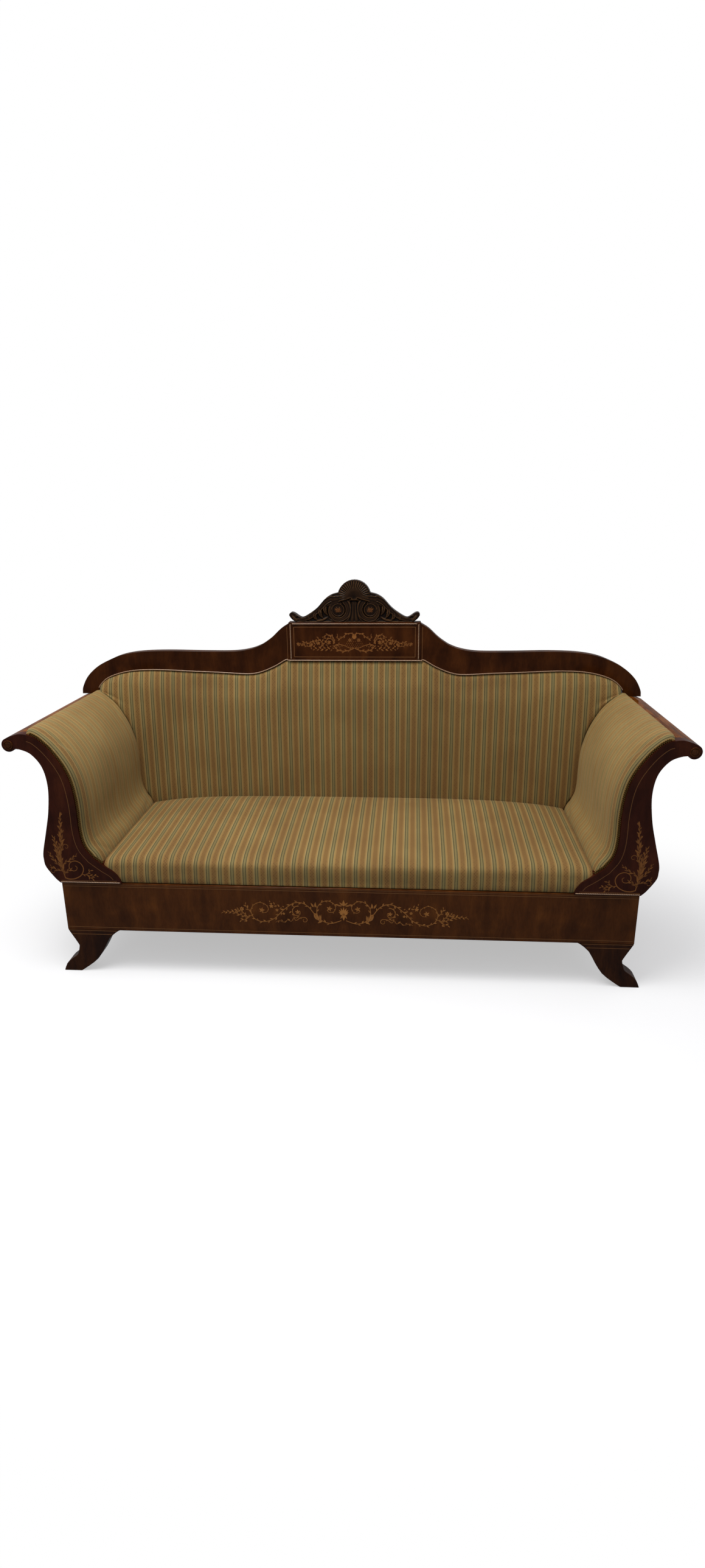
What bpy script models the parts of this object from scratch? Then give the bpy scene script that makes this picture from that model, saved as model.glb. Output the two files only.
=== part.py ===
# A carved scroll-arm sofa of about 1840, in metres, +Z up, with its front towards -Y.
# The origin is on the floor under the middle of the whole piece.
import math

import bmesh
import bpy
import numpy as np

# Seat frame
frame_length = 1.860        # over the ends of the front rail
frame_depth = 0.640         # from the front rail's face to the back boards' rear face
foot_height = 0.157
rail_height = 0.173
rail_thickness = 0.032
corner_block_side = 0.060
corner_block_drop = 0.020   # below the rails' tops
board_edge = 0.0015         # chamfer of the polished boards
carcass_edge = 0.001        # chamfer of the hidden woodwork
bearer_spacing = 0.780      # between the middles of the two bearers
bearer_width = 0.045
bearer_height = 0.040

# Feet, cut from thick board
foot_thickness = 0.055
foot_width = 0.178          # across the top
foot_toe = 0.031            # how far the toe stands out past the rail's end
foot_ankle = 0.031          # how far the ankle lies in from the rail's end
sole_width = 0.061

# Arms
arm_height = 0.833
arm_flare = 0.132           # how far the scroll's outer side stands out past the rail's end
belly = 0.048               # how far the belly stands out past the rail's end
waist_share = 0.04          # of that, at the foot and the waist
facade_proud = 0.003
facade_edge = 0.0012        # its chamfer
facade_width = 0.080        # in from the rail's end at the waist
facade_reach = 0.203        # in from the rail's end at the tip
scroll_radius = 0.022
scroll_drop = 0.035         # from the arm's top down to the middle of the scroll
roundel_radius = 0.015
roundel_height = 0.004
arm_rail_width = 0.077      # of bare wood, out to the scroll's edge
stuffing_rail_width = 0.040
stuffing_rail_height = 0.055
stuffing_rail_rise = 0.015  # its top above the seat rails

# Back
back_thickness = 0.040
crest_inset = 0.023         # of the crest rail's ends, in from the outer sides of the scrolls
eaves_rise = 0.0895         # above the arms, of the level stretch of its lower edge
crest_rail_height = 0.0735  # over that stretch
tablet_width = 0.480
tablet_height = 0.1405
tablet_rise = 0.037         # of its lower edge above the eaves
tablet_proud = 0.005
bead_radius = 0.003
bead_step = 0.004           # from the tablet's end to where the bead steps forward or back
lower_rail_height = 0.040
lower_rail_rise = 0.065     # its top above the seat rails
muntin_spacing = 0.700
muntin_width = 0.050
cover_thickness = 0.003
cover_clearance = 0.001     # between the outside cloth and the woodwork
cover_margin = 0.012        # how far the rear cloth laps onto the boards

# Carved crest
crest_margin = 0.004        # of the tips of its ears inside the tablet's ends
crest_rise = 0.148          # from the tablet to the top of the shell
crest_thickness = 0.030
crest_setback = 0.004       # its face behind the face of the boards
shell_radius = 0.060
shell_flutes = 13
shell_relief = 0.011
shell_sink = 0.010          # how deep the shell goes into the board
volute_radius = 0.044
volute_eye = 0.029
volute_wire = 0.008         # radius of its roll
leaf_relief = 0.007

# Upholstery
crease_inset = 0.1435       # in from the rail's end to where seat and arm meet
seat_edge = 0.082           # height of the seat's front edge above the rail
seat_crown = 0.030          # how far its middle stands above its sides
seat_rise = 0.008           # how far its sides rise towards the back
seat_round = 0.030          # depth of its rounded front edge
arm_pad_proud = 0.020
arm_pad_edge = 0.010        # what is left of that at the facade
arm_pad_thickness = 0.045
arm_pad_start = 0.005       # depth of its front edge
arm_pad_roll = 0.060        # how far back it swells from there
back_pad_proud = 0.045
back_pad_sink = 0.020       # how far the back pad lies inside the boards
back_pad_corner = 0.012     # how far its corner stops short of the crest rail's end
back_pad_tuck = 0.001       # how far its edge is drawn in behind the boards' face
canvas_thickness = 0.002
gimp_width = 0.009
gimp_thickness = 0.003

# Springs and their webbing
spring_columns = 4
spring_rows = 2
spring_radius = 0.045
spring_waist = 0.028
spring_turns = 4
spring_wire = 0.002
webbing_width = 0.050
webbing_thickness = 0.003
webbing_drop = 0.008        # above the rails' lower edges

gap = 0.0003                # between pieces that touch

# Places that several pieces share
frame_end = frame_length / 2
arm_end = frame_end + arm_flare
rail_top = foot_height + rail_height
arm_rise = arm_height - rail_top
scroll_x = arm_end - scroll_radius
scroll_z = arm_height - scroll_drop
waist_out = frame_end + waist_share * belly
waist_in = frame_end - facade_width
facade_tip = frame_end - facade_reach
arm_rail_in = arm_end - arm_rail_width
arm_rail_low = scroll_z - 1.3 * scroll_radius
crease = frame_end - crease_inset
crest_end = arm_end - crest_inset
crest_eaves = arm_height + eaves_rise
crest_shoulder = crest_eaves + crest_rail_height
tablet_bottom = crest_eaves + tablet_rise
tablet_top = tablet_bottom + tablet_height
tablet_end = tablet_width / 2
crest_width = tablet_width - 2 * crest_margin
back_front = frame_depth - back_thickness
pad_rear = back_front + back_pad_sink
seat_rear = back_front - back_pad_proud
canvas_low = rail_top + gap
seat_low = canvas_low + canvas_thickness + gap
lower_rail_top = rail_top + lower_rail_rise
stuffing_rail_top = rail_top + stuffing_rail_rise
webbing_low = foot_height + webbing_drop
bearer_low = webbing_low + 1.5 * webbing_thickness + gap
front_proud = facade_proud + gap + roundel_height
overall_depth = front_proud + frame_depth + gap + cover_thickness
front_y = front_proud - overall_depth / 2

for old_object in list(bpy.data.objects):
    bpy.data.objects.remove(old_object)
parts = bpy.data.collections.new("carved_sofa")
cutters = bpy.data.collections.new("cutters")
bpy.context.scene.collection.children.link(parts)
bpy.context.scene.collection.children.link(cutters)


def make_material(name, colour, roughness, metallic=0.0):
    material = bpy.data.materials.new(name)
    material.use_nodes = True
    shader = material.node_tree.nodes["Principled BSDF"]
    linear = [(part / 255) ** 2.2 for part in colour]
    shader.inputs["Base Color"].default_value = (*linear, 1.0)
    shader.inputs["Roughness"].default_value = roughness
    shader.inputs["Metallic"].default_value = metallic
    material.diffuse_color = (*linear, 1.0)
    return material


mahogany = make_material("polished_mahogany", (69, 40, 24), 0.25)
arm_mahogany = make_material("polished_arm_mahogany", (112, 58, 26), 0.18)
carved_wood = make_material("carved_mahogany", (44, 32, 16), 0.35)
carcass_pine = make_material("carcass_pine", (150, 112, 70), 0.7)
rope_inlay = make_material("rope_bead", (160, 122, 96), 0.45)
striped_cloth = make_material("striped_cloth", (148, 124, 78), 0.85)
braid = make_material("gimp_braid", (122, 100, 62), 0.8)
linen = make_material("plain_linen", (158, 140, 108), 0.9)
jute = make_material("jute_webbing", (150, 118, 74), 0.9)
spring_steel = make_material("spring_steel", (120, 112, 104), 0.45, 0.9)


def between(start, stop, share):
    return start + (stop - start) * share


def at_depth(depth):
    # depth is counted back from the front rail's face
    return front_y + depth


def smooth_line(points, steps):
    # a Catmull-Rom line through the points, with the given steps to each span
    points = np.array(points, float)
    before = 2 * points[0] - points[1]
    after = 2 * points[-1] - points[-2]
    knots = np.vstack([before, points, after])
    line = []
    for start in range(len(points) - 1):
        a, b, c, d = knots[start:start + 4]
        for step in range(steps):
            t = step / steps
            linear = (c - a) * t
            square = (2 * a - 5 * b + 4 * c - d) * t ** 2
            cubic = (3 * b - a - 3 * c + d) * t ** 3
            line.append(0.5 * (2 * b + linear + square + cubic))
    line.append(points[-1])
    return np.array(line)


def arc(centre, radius, start, stop, steps):
    # (x, z) points on an arc, with its angles in degrees
    angles = np.radians(np.linspace(start, stop, steps + 1))
    return np.stack([centre[0] + radius * np.cos(angles), centre[1] + radius * np.sin(angles)], 1)


def shifted(line, distance):
    # the open line moved sideways, to the left of its own direction
    ahead = np.gradient(line, axis=0)
    ahead /= np.linalg.norm(ahead, axis=1)[:, None]
    return line + distance * np.stack([-ahead[:, 1], ahead[:, 0]], 1)


def clipped(outline, limit, axis):
    # the part of a closed outline past a limit, counted along x (axis 0) or z (axis 1)
    kept = []
    for here, there in zip(outline, np.roll(outline, -1, axis=0)):
        if here[axis] >= limit:
            kept.append(here)
        if (here[axis] >= limit) != (there[axis] >= limit):
            share = (limit - here[axis]) / (there[axis] - here[axis])
            kept.append(here + share * (there - here))
    return np.array(kept)


def mirrored(outline, side):
    return np.array(outline) * (side, 1)


def finish(name, mesh, material, target=parts, smooth=0.0):
    shape = bmesh.new()
    shape.from_mesh(mesh)
    bmesh.ops.remove_doubles(shape, verts=shape.verts, dist=0.00002)
    bmesh.ops.recalc_face_normals(shape, faces=shape.faces)
    shape.to_mesh(mesh)
    shape.free()
    mesh.name = name
    if smooth:
        mesh.shade_smooth()
        mesh.set_sharp_from_angle(angle=math.radians(smooth))
    mesh.materials.clear()
    mesh.materials.append(material)
    piece = bpy.data.objects.new(name, mesh)
    target.objects.link(piece)
    if target is cutters:
        piece.hide_render = True
        piece.display_type = "WIRE"
    return piece


def meshed(guide):
    # the evaluated mesh of a curve object, which is then removed
    bpy.context.scene.collection.objects.link(guide)
    bpy.context.view_layer.update()
    graph = bpy.context.evaluated_depsgraph_get()
    mesh = bpy.data.meshes.new_from_object(guide.evaluated_get(graph))
    mesh.transform(guide.matrix_world)
    bpy.data.objects.remove(guide)
    return mesh


def chamfer(piece, width, angle=40):
    bevel = piece.modifiers.new("chamfer", "BEVEL")
    bevel.width = width
    bevel.segments = 1
    bevel.limit_method = "ANGLE"
    bevel.angle_limit = math.radians(angle)


def board(name, outline, front, thickness, material, edge=0.0, target=parts):
    # a board cut to a closed outline of (x, z) points, its front face at the given depth
    curve = bpy.data.curves.new(name, "CURVE")
    curve.dimensions = "2D"
    curve.fill_mode = "BOTH"
    curve.extrude = thickness / 2
    spline = curve.splines.new("POLY")
    spline.points.add(len(outline) - 1)
    for point, (x, z) in zip(spline.points, outline):
        point.co = (x, z, 0, 1)
    spline.use_cyclic_u = True
    guide = bpy.data.objects.new(name, curve)
    guide.rotation_euler = (math.pi / 2, 0, 0)
    guide.location = (0, at_depth(front + thickness / 2), 0)
    piece = finish(name, meshed(guide), material, target)
    if edge:
        chamfer(piece, edge)
    return piece


def block(name, low, high, material, edge=0.0, target=parts):
    # a rectangular piece between two corners, given as (x, depth, z)
    low = np.array(low, float)
    high = np.array(high, float)
    shape = bmesh.new()
    bmesh.ops.create_cube(shape, size=1.0)
    bmesh.ops.scale(shape, vec=high - low, verts=shape.verts)
    mesh = bpy.data.meshes.new(name)
    shape.to_mesh(mesh)
    shape.free()
    piece = finish(name, mesh, material, target)
    middle = (low + high) / 2
    piece.location = (middle[0], at_depth(middle[1]), middle[2])
    if edge:
        chamfer(piece, edge)
    return piece


def tube(name, path, radius, material, radii=None, sides=1):
    # a round bar along (x, depth, z) points
    curve = bpy.data.curves.new(name, "CURVE")
    curve.dimensions = "3D"
    curve.bevel_depth = radius
    curve.bevel_resolution = sides
    curve.use_fill_caps = True
    spline = curve.splines.new("POLY")
    spline.points.add(len(path) - 1)
    for index, (x, depth, z) in enumerate(path):
        spline.points[index].co = (x, at_depth(depth), z, 1)
        if radii is not None:
            spline.points[index].radius = radii[index] / radius
    curve.materials.append(material)
    return bpy.data.objects.new(name, curve)


def padded(name, columns, rows, face, rear, material, target=parts):
    # a closed slab between two surfaces, each a function of two shares from 0 to 1
    shape = bmesh.new()
    bmesh.ops.create_grid(shape, x_segments=columns, y_segments=rows, size=0.5)
    outer = list(shape.verts)
    grown = bmesh.ops.extrude_face_region(shape, geom=shape.faces[:])
    inner = [item for item in grown["geom"] if isinstance(item, bmesh.types.BMVert)]
    for surface, verts in ((face, outer), (rear, inner)):
        for vert in verts:
            x, depth, z = surface(vert.co.x + 0.5, vert.co.y + 0.5)
            vert.co = (x, at_depth(depth), z)
    mesh = bpy.data.meshes.new(name)
    shape.to_mesh(mesh)
    shape.free()
    return finish(name, mesh, material, target, smooth=35)


def cut(piece, cutter, operation="DIFFERENCE", solver="EXACT"):
    modifier = piece.modifiers.new(operation.lower(), "BOOLEAN")
    modifier.operation = operation
    modifier.solver = solver
    modifier.object = cutter


def line_at(line, share):
    # the point of an open line at a share of its points
    places = np.linspace(0, 1, len(line))
    return np.array([np.interp(share, places, line[:, axis]) for axis in range(line.shape[1])])


# Outlines of one arm, for the side at +X, as shares of the spans that they join
def arm_height_at(share):
    return rail_top + gap + (arm_rise - gap) * share


def outer_edge():
    lower = [(waist_share, 0.0), (0.38, 0.034), (0.90, 0.109), (1.0, 0.159), (0.96, 0.219),
             (0.58, 0.358), (0.23, 0.497), (waist_share, 0.656)]
    upper = [(0.09, 0.785), (0.37, 0.871), (0.70, 0.903), (0.80, 0.900)]
    points = [(frame_end + belly * out, arm_height_at(up)) for out, up in lower]
    points += [(between(waist_out, scroll_x, out), arm_height_at(up)) for out, up in upper]
    return smooth_line(points, 2)


def inner_edge():
    upper = [(0.97, 0.984), (0.816, 1.0), (0.658, 0.994), (0.526, 0.970), (0.342, 0.901), (0.158, 0.795),
             (0.053, 0.686), (0.005, 0.537), (0.0, 0.358)]
    lower = [(0.081, 0.254), (0.285, 0.179)]
    points = [(between(waist_in, scroll_x, out), arm_height_at(up)) for out, up in upper]
    points += [(between(waist_in, facade_tip, out), arm_height_at(up)) for out, up in lower]
    return smooth_line(points, 2)


def toe_edge():
    shares = [(0.285, 0.179), (0.569, 0.124), (0.813, 0.083), (0.951, 0.040), (1.0, 0.0)]
    points = [(between(waist_in, facade_tip, out), arm_height_at(up)) for out, up in shares]
    return smooth_line(points, 2)


inner_waist = -5            # the inner edge's point at the waist, counted from its lower end
scroll_edge = arc((scroll_x, scroll_z), scroll_radius, -146, 62, 12)
facade_outline = np.vstack([outer_edge(), scroll_edge, inner_edge(), toe_edge()[1:]])


def make_seat_frame():
    low = foot_height
    inside = frame_depth - rail_thickness
    block("front_seat_rail", (-frame_end, 0, low), (frame_end, rail_thickness, rail_top), mahogany,
          board_edge)
    block("back_seat_rail", (-frame_end, inside, low), (frame_end, frame_depth, rail_top), carcass_pine,
          board_edge)
    for side, word in ((-1, "left"), (1, "right")):
        outside = side * frame_end
        inward = side * (frame_end - rail_thickness)
        ends = sorted((outside, inward))
        block(word + "_seat_rail", (ends[0], rail_thickness + gap, low), (ends[1], inside - gap, rail_top),
              mahogany, board_edge)
        near = side * (frame_end - rail_thickness - gap)
        far = side * (frame_end - rail_thickness - gap - corner_block_side)
        ends = sorted((near, far))
        starts = {"front": rail_thickness + gap, "back": inside - gap - corner_block_side}
        for place, start in starts.items():
            block(f"{word}_{place}_corner_block", (ends[0], start, low),
                  (ends[1], start + corner_block_side, rail_top - corner_block_drop), carcass_pine,
                  carcass_edge)
        middle = side * bearer_spacing / 2
        block(word + "_bearer", (middle - bearer_width / 2, rail_thickness + gap, bearer_low),
              (middle + bearer_width / 2, inside - gap, bearer_low + bearer_height), carcass_pine,
              carcass_edge)
        near = side * (crease + 2 * gap)
        far = side * (crease + 2 * gap + stuffing_rail_width)
        ends = sorted((near, far))
        foot = stuffing_rail_top - stuffing_rail_height
        block(word + "_stuffing_rail", (ends[0], rail_thickness + gap, foot),
              (ends[1], inside - gap, stuffing_rail_top), carcass_pine, carcass_edge)


def foot_outline():
    # outer side from the rail down to the toe, then the hollow inner side up again
    top = foot_height - gap
    outer = [(0.0, 1.0), (-0.39 * foot_ankle, 0.86), (-0.94 * foot_ankle, 0.656), (-foot_ankle, 0.586),
             (-0.74 * foot_ankle, 0.41), (-0.36 * foot_ankle, 0.338), (0.12 * foot_toe, 0.268),
             (0.65 * foot_toe, 0.16), (foot_toe, 0.0)]
    inner = [(0.0, 0.0), (0.203, 0.134), (0.419, 0.306), (0.595, 0.56), (0.743, 0.81), (0.932, 0.968),
             (1.0, 1.0)]
    heel = foot_toe - sole_width
    outer = [(frame_end + out, top * up) for out, up in outer]
    inner = [(frame_end + between(heel, -foot_width, share), top * up) for share, up in inner]
    return np.vstack([smooth_line(outer, 2), smooth_line(inner, 2)])


def make_feet():
    fronts = {"front": 0.0, "back": frame_depth - foot_thickness}
    for side, word in ((-1, "left"), (1, "right")):
        for place, front in fronts.items():
            board(f"{word}_{place}_foot", mirrored(foot_outline(), side), front, foot_thickness, mahogany,
                  board_edge)


def make_arm_woodwork(side, word):
    behind = rail_thickness + gap
    board(word + "_arm_facade", mirrored(facade_outline, side), -facade_proud, facade_proud + rail_thickness,
          mahogany, facade_edge)
    rail_outline = clipped(clipped(facade_outline, arm_rail_in, 0), arm_rail_low, 1)
    board(word + "_arm_rail", mirrored(rail_outline, side), behind, frame_depth - behind, arm_mahogany,
          facade_edge)
    inner = inner_edge()
    straight = [inner[inner_waist], (inner[inner_waist][0], rail_top + gap)]
    post_outline = np.vstack([outer_edge(), scroll_edge, inner[:inner_waist], straight])
    post = board(word + "_back_post", mirrored(post_outline, side), back_front, back_thickness, carcass_pine)
    near = shifted(outer_edge(), cover_clearance)
    far = shifted(outer_edge(), cover_clearance + cover_thickness)
    skin = np.vstack([near, far[::-1]])
    skin[:, 1] = np.maximum(skin[:, 1], rail_top + gap)
    cloth = board(word + "_outside_arm_cloth", mirrored(skin, side), behind, back_front - gap - behind,
                  striped_cloth)
    ends = sorted((side * (arm_rail_in - gap), side * 2 * arm_end))
    rail_room = block(word + "_rail_room", (ends[0], 0, arm_rail_low - gap),
                      (ends[1], 2 * frame_depth, 2 * arm_height), mahogany, target=cutters)
    cut(post, rail_room)
    chamfer(post, carcass_edge)
    cut(cloth, rail_room)
    make_roundel(side, word)


def make_roundel(side, word):
    # a turned button with a sunk ring, on the end of the scroll
    profile = [(0.0, 1.0), (0.55, 1.0), (0.66, 0.45), (0.78, 0.45), (0.86, 0.9), (0.95, 0.85), (1.0, 0.4),
               (1.0, 0.0), (0.0, 0.0)]
    mesh = bpy.data.meshes.new(word + "_roundel_profile")
    points = [(roundel_radius * out, 0, roundel_height * up) for out, up in profile]
    mesh.from_pydata(points, [(index, index + 1) for index in range(len(points) - 1)], [])
    mesh.materials.append(mahogany)
    roundel = bpy.data.objects.new(word + "_scroll_roundel", mesh)
    parts.objects.link(roundel)
    roundel.rotation_euler = (math.pi / 2, 0, 0)
    roundel.location = (side * scroll_x, at_depth(-facade_proud - gap), scroll_z)
    screw = roundel.modifiers.new("turning", "SCREW")
    screw.steps = 20
    screw.render_steps = 20
    screw.use_merge_vertices = True
    screw.merge_threshold = 0.00001
    screw.use_smooth_shade = True


# Lines of the back, for the side at +X
def crest_top_line():
    rising = [(0.0, 0.95), (0.037, 0.77), (0.075, 0.50), (0.106, 0.32), (0.137, 0.18), (0.187, 0.05),
              (0.262, -0.03), (0.40, -0.035), (0.574, -0.015)]
    falling = [(0.698, 0.970), (0.786, 0.904), (0.854, 0.784), (0.916, 0.622), (0.966, 0.399),
               (0.994, 0.159), (1.0, 0.0)]
    foot = arm_height + gap
    points = [(between(tablet_end + gap, crest_end, out), between(crest_shoulder, tablet_top, up))
              for out, up in rising]
    points += [(between(tablet_end + gap, crest_end, out), between(foot, crest_shoulder, up))
               for out, up in falling]
    return smooth_line(points, 2)


def crest_lower_line():
    rising = [(0.0, 1.0), (0.015, 1.04), (0.043, 0.70), (0.075, 0.324)]
    falling = [(0.137, 0.914), (0.199, 0.838), (0.324, 0.892), (0.449, 0.935), (0.636, 1.0), (0.760, 0.935),
               (0.854, 0.697), (0.903, 0.362), (0.923, 0.0)]
    foot = arm_height + gap
    points = [(between(tablet_end + gap, crest_end, out), between(crest_eaves, tablet_bottom, up))
              for out, up in rising]
    points += [(between(tablet_end + gap, crest_end, out), between(foot, crest_eaves, up))
               for out, up in falling]
    return smooth_line(points, 2)


crest_top = crest_top_line()
crest_lower = crest_lower_line()
lower_x = np.concatenate([[0.0], crest_lower[:, 0]])
lower_z = np.concatenate([[tablet_bottom], crest_lower[:, 1]])


def make_back_frame():
    crest_outline = np.vstack([crest_top, crest_lower[::-1]])
    for side, word in ((-1, "left"), (1, "right")):
        board(word + "_crest_rail", mirrored(crest_outline, side), back_front, back_thickness, mahogany,
              board_edge)
        middle = muntin_spacing / 2
        span = np.linspace(middle - muntin_width / 2, middle + muntin_width / 2, 9)
        top = np.interp(span, lower_x, lower_z).min() - gap
        ends = sorted((side * span[0], side * span[-1]))
        front = pad_rear + 2 * gap + canvas_thickness
        block(word + "_back_muntin", (ends[0], front, lower_rail_top + gap), (ends[1], frame_depth, top),
              carcass_pine)
    block("crest_tablet", (-tablet_end, back_front - tablet_proud, tablet_bottom),
          (tablet_end, frame_depth, tablet_top), mahogany, board_edge)
    post_in = inner_edge()[inner_waist][0]
    block("back_lower_rail", (-post_in + gap, back_front, lower_rail_top - lower_rail_height),
          (post_in - gap, frame_depth, lower_rail_top), carcass_pine, carcass_edge)
    make_back_bead()
    make_rear_cloth()


def make_back_bead():
    # the rope bead follows the lower edge of the boards and steps forward over the tablet
    clear = bead_radius + gap
    edge = shifted(crest_lower, bead_radius)
    above_pad = edge[2:][edge[2:, 1] > arm_height + arm_pad_proud]
    on_rail = [(x, back_front - clear, z) for x, z in above_pad]
    on_tablet = [(tablet_end - bead_step, back_front - tablet_proud - clear, tablet_bottom + bead_radius)]
    step = [(tablet_end + bead_step, back_front - tablet_proud - clear, tablet_bottom + bead_radius)]
    half = on_tablet + step + on_rail
    path = [(-x, depth, z) for x, depth, z in half[::-1]] + half
    parts.objects.link(tube("back_bead", path, bead_radius, rope_inlay))


def make_rear_cloth():
    # plain cloth over the outside of the back, from the seat rail up onto the crest rail
    line = crest_lower[crest_lower[:, 0] < frame_end]
    half = np.vstack([[(0.0, tablet_bottom + cover_margin)], line + (0.0, cover_margin)])
    half = np.vstack([half, [(half[-1][0], rail_top - cover_margin)]])
    outline = np.vstack([half, mirrored(half[::-1], -1)])
    outline = outline[:-1]
    board("rear_cloth", outline, frame_depth + gap, cover_thickness, linen)


def make_crest():
    # ears, swept sides and a shell: one carved board, built up by joining its carved forms
    base = tablet_top + gap
    half_width = crest_width / 2
    shell_z = tablet_top + crest_rise - shell_radius
    sweep = [(0.92, 0.02), (0.966, 0.08), (1.0, 0.17), (0.975, 0.23), (0.924, 0.216), (0.847, 0.135),
             (0.792, 0.115), (0.699, 0.19), (0.572, 0.338), (0.445, 0.554), (0.35, 0.652), (0.254, 0.696)]
    side_line = smooth_line([(half_width * out, base + crest_rise * up) for out, up in sweep], 2)
    top_arc = arc((0, shell_z), 0.94 * shell_radius, 16, 90, 6)
    half = np.vstack([[(0.90 * half_width, base)], side_line, top_arc])
    outline = np.vstack([half, mirrored(half[:-1][::-1], -1)])
    front = back_front + crest_setback
    crest = board("carved_crest", outline, front, crest_thickness, carved_wood, board_edge)
    # many slanted forms meet here, which the exact solver can leave open at some sizes
    cut(crest, make_shell(shell_z, front), "UNION", "MANIFOLD")
    for side, word in ((-1, "left"), (1, "right")):
        for form in make_volute(side, word, base, front):
            cut(crest, form, "UNION", "MANIFOLD")


def make_shell(shell_z, front):
    # flutes fan out from the foot of the shell and scallop its rim
    sink = front + shell_sink

    def place(across, out):
        angle = math.radians(between(-18, 198, across))
        ridge = abs(math.sin(math.pi * shell_flutes * across))
        rim = shell_radius * between(0.965, 1.0, ridge)
        radius = between(0.24 * shell_radius, rim, out)
        return angle, ridge, radius

    def face(across, out):
        angle, ridge, radius = place(across, out)
        swell = math.sin(math.pi * between(0.25, 0.93, out))
        relief = shell_relief * swell * between(0.55, 1.0, ridge)
        return radius * math.cos(angle), front - relief, shell_z + radius * math.sin(angle)

    def rear(across, out):
        angle, ridge, radius = place(across, out)
        return radius * math.cos(angle), sink, shell_z + radius * math.sin(angle)

    return padded("shell_form", shell_flutes * 4, 3, face, rear, carved_wood, cutters)


def make_volute(side, word, base, front):
    # a tapered roll runs up from the ear and winds in round the eye
    centre = (0.237 * crest_width / 2, base + 0.304 * crest_rise)
    tail = [(0.775, 0.055), (0.671, 0.122), (0.600, 0.195), (0.535, 0.275), (0.408, 0.490)]
    path = [(crest_width / 2 * out, base + crest_rise * up) for out, up in tail]
    turns = np.linspace(62, 450, 26)
    for angle in turns:
        radius = between(volute_radius, volute_eye, (angle - turns[0]) / (turns[-1] - turns[0]))
        path.append(tuple(arc(centre, radius, angle, angle, 0)[0]))
    shares = np.linspace(0, 1, len(path))
    radii = np.interp(shares, [0.0, 0.22, 0.6, 1.0], [0.4, 1.0, 0.85, 0.5]) * volute_wire
    route = [(side * x, front - volute_wire / 8, z) for x, z in path]
    guide = tube(word + "_roll", route, volute_wire, carved_wood, radii)
    forms = [finish(word + "_roll_form", meshed(guide), carved_wood, cutters)]
    # three leaves grow out of the roll towards the ear
    for number in range(3):
        lean = math.radians(-18 - 26 * number)
        length = volute_radius * (1.0 - 0.22 * number)
        root = (centre[0] + 1.05 * volute_radius, centre[1] - 0.06 * volute_radius)
        middle = (root[0] + 0.45 * length * math.cos(lean), root[1] + 0.45 * length * math.sin(lean))
        shape = bmesh.new()
        bmesh.ops.create_uvsphere(shape, u_segments=8, v_segments=6, radius=1.0)
        mesh = bpy.data.meshes.new(word + "_leaf")
        shape.to_mesh(mesh)
        shape.free()
        leaf = finish(f"{word}_leaf_form_{number}", mesh, carved_wood, cutters)
        leaf.scale = (length * 0.55, leaf_relief, length * 0.16)
        leaf.rotation_euler = (0, -side * lean, 0)
        raised = leaf_relief * (0.27 + 0.085 * number)
        leaf.location = (side * middle[0], at_depth(front - raised), middle[1])
        forms.append(leaf)
    return forms


def arm_pad_lines():
    # the pad's root on the facade's edge and its face, from the arm rail down to the seat
    inner = inner_edge()
    inner = inner[inner[:, 0] < arm_rail_in - 0.2 * arm_pad_proud]
    face = shifted(inner, -arm_pad_proud)
    side = crease + gap
    foot = stuffing_rail_top + gap
    top = [(arm_rail_in - gap, arm_height + 0.65 * arm_pad_proud)]
    turn = rail_top + seat_edge
    low = [(side + 0.2 * arm_pad_proud, turn), (side, lower_rail_top), (side, foot)]
    above = face[:, 1] > turn + 0.9 * arm_pad_proud
    face = face[above & (face[:, 0] < arm_rail_in - 0.6 * arm_pad_proud)]
    face = np.vstack([top, face, low])
    return line_resampled(face, 17)


def line_resampled(line, count):
    # the same line with its points spaced evenly
    steps = np.concatenate([[0.0], np.cumsum(np.linalg.norm(np.diff(line, axis=0), axis=1))])
    places = np.linspace(0, steps[-1], count)
    return np.stack([np.interp(places, steps, line[:, axis]) for axis in range(2)], 1)


arm_face = arm_pad_lines()


def make_arm_pad(side, word):
    inward = shifted(arm_face, 1.0) - arm_face
    start = arm_pad_start
    length = back_front - gap - start
    level = length - 1.2 * back_pad_proud
    depths = [arm_pad_roll * share for share in (0.0, 0.1, 0.3, 0.58, 1.0)]
    depths += [between(arm_pad_roll, level, 0.25), between(arm_pad_roll, level, 0.67), level, length]
    lift = [arm_pad_edge / arm_pad_proud, 0.80, 0.94, 0.99, 1.0, 1.08, 1.08, 1.0, 1.0]

    def face(down, back):
        point = line_at(arm_face, down)
        normal = line_at(inward, down)
        depth = np.interp(back, np.linspace(0, 1, len(depths)), depths)
        height = np.interp(depth, depths, lift)
        settle = math.sin(math.pi * min(max(down, 0.0), 1.0))
        sunk = (1 - height) * arm_pad_proud * (1.0 if height < 1 else 0.8 * settle)
        point = point + normal * sunk
        point[0] = min(point[0], arm_rail_in - gap)
        return side * point[0], start + depth, max(point[1], stuffing_rail_top + gap)

    def rear(down, back):
        point = line_at(arm_face, down) + line_at(inward, down) * arm_pad_thickness
        point[0] = min(point[0], arm_rail_in - gap)
        depth = np.interp(back, np.linspace(0, 1, len(depths)), depths)
        return side * point[0], start + depth, max(point[1], stuffing_rail_top + gap)

    pad = padded(word + "_arm_pad", 16, len(depths) - 1, face, rear, striped_cloth)
    grown = np.vstack([shifted(outer_edge(), -gap), shifted(scroll_edge, -gap), shifted(inner_edge(), -gap),
                       shifted(toe_edge()[1:], -gap)])
    reach = rail_thickness + gap
    cutter = board(word + "_facade_room", mirrored(grown, side), -reach, 2 * reach, mahogany,
                   target=cutters)
    cut(pad, cutter)
    return cutter


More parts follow.
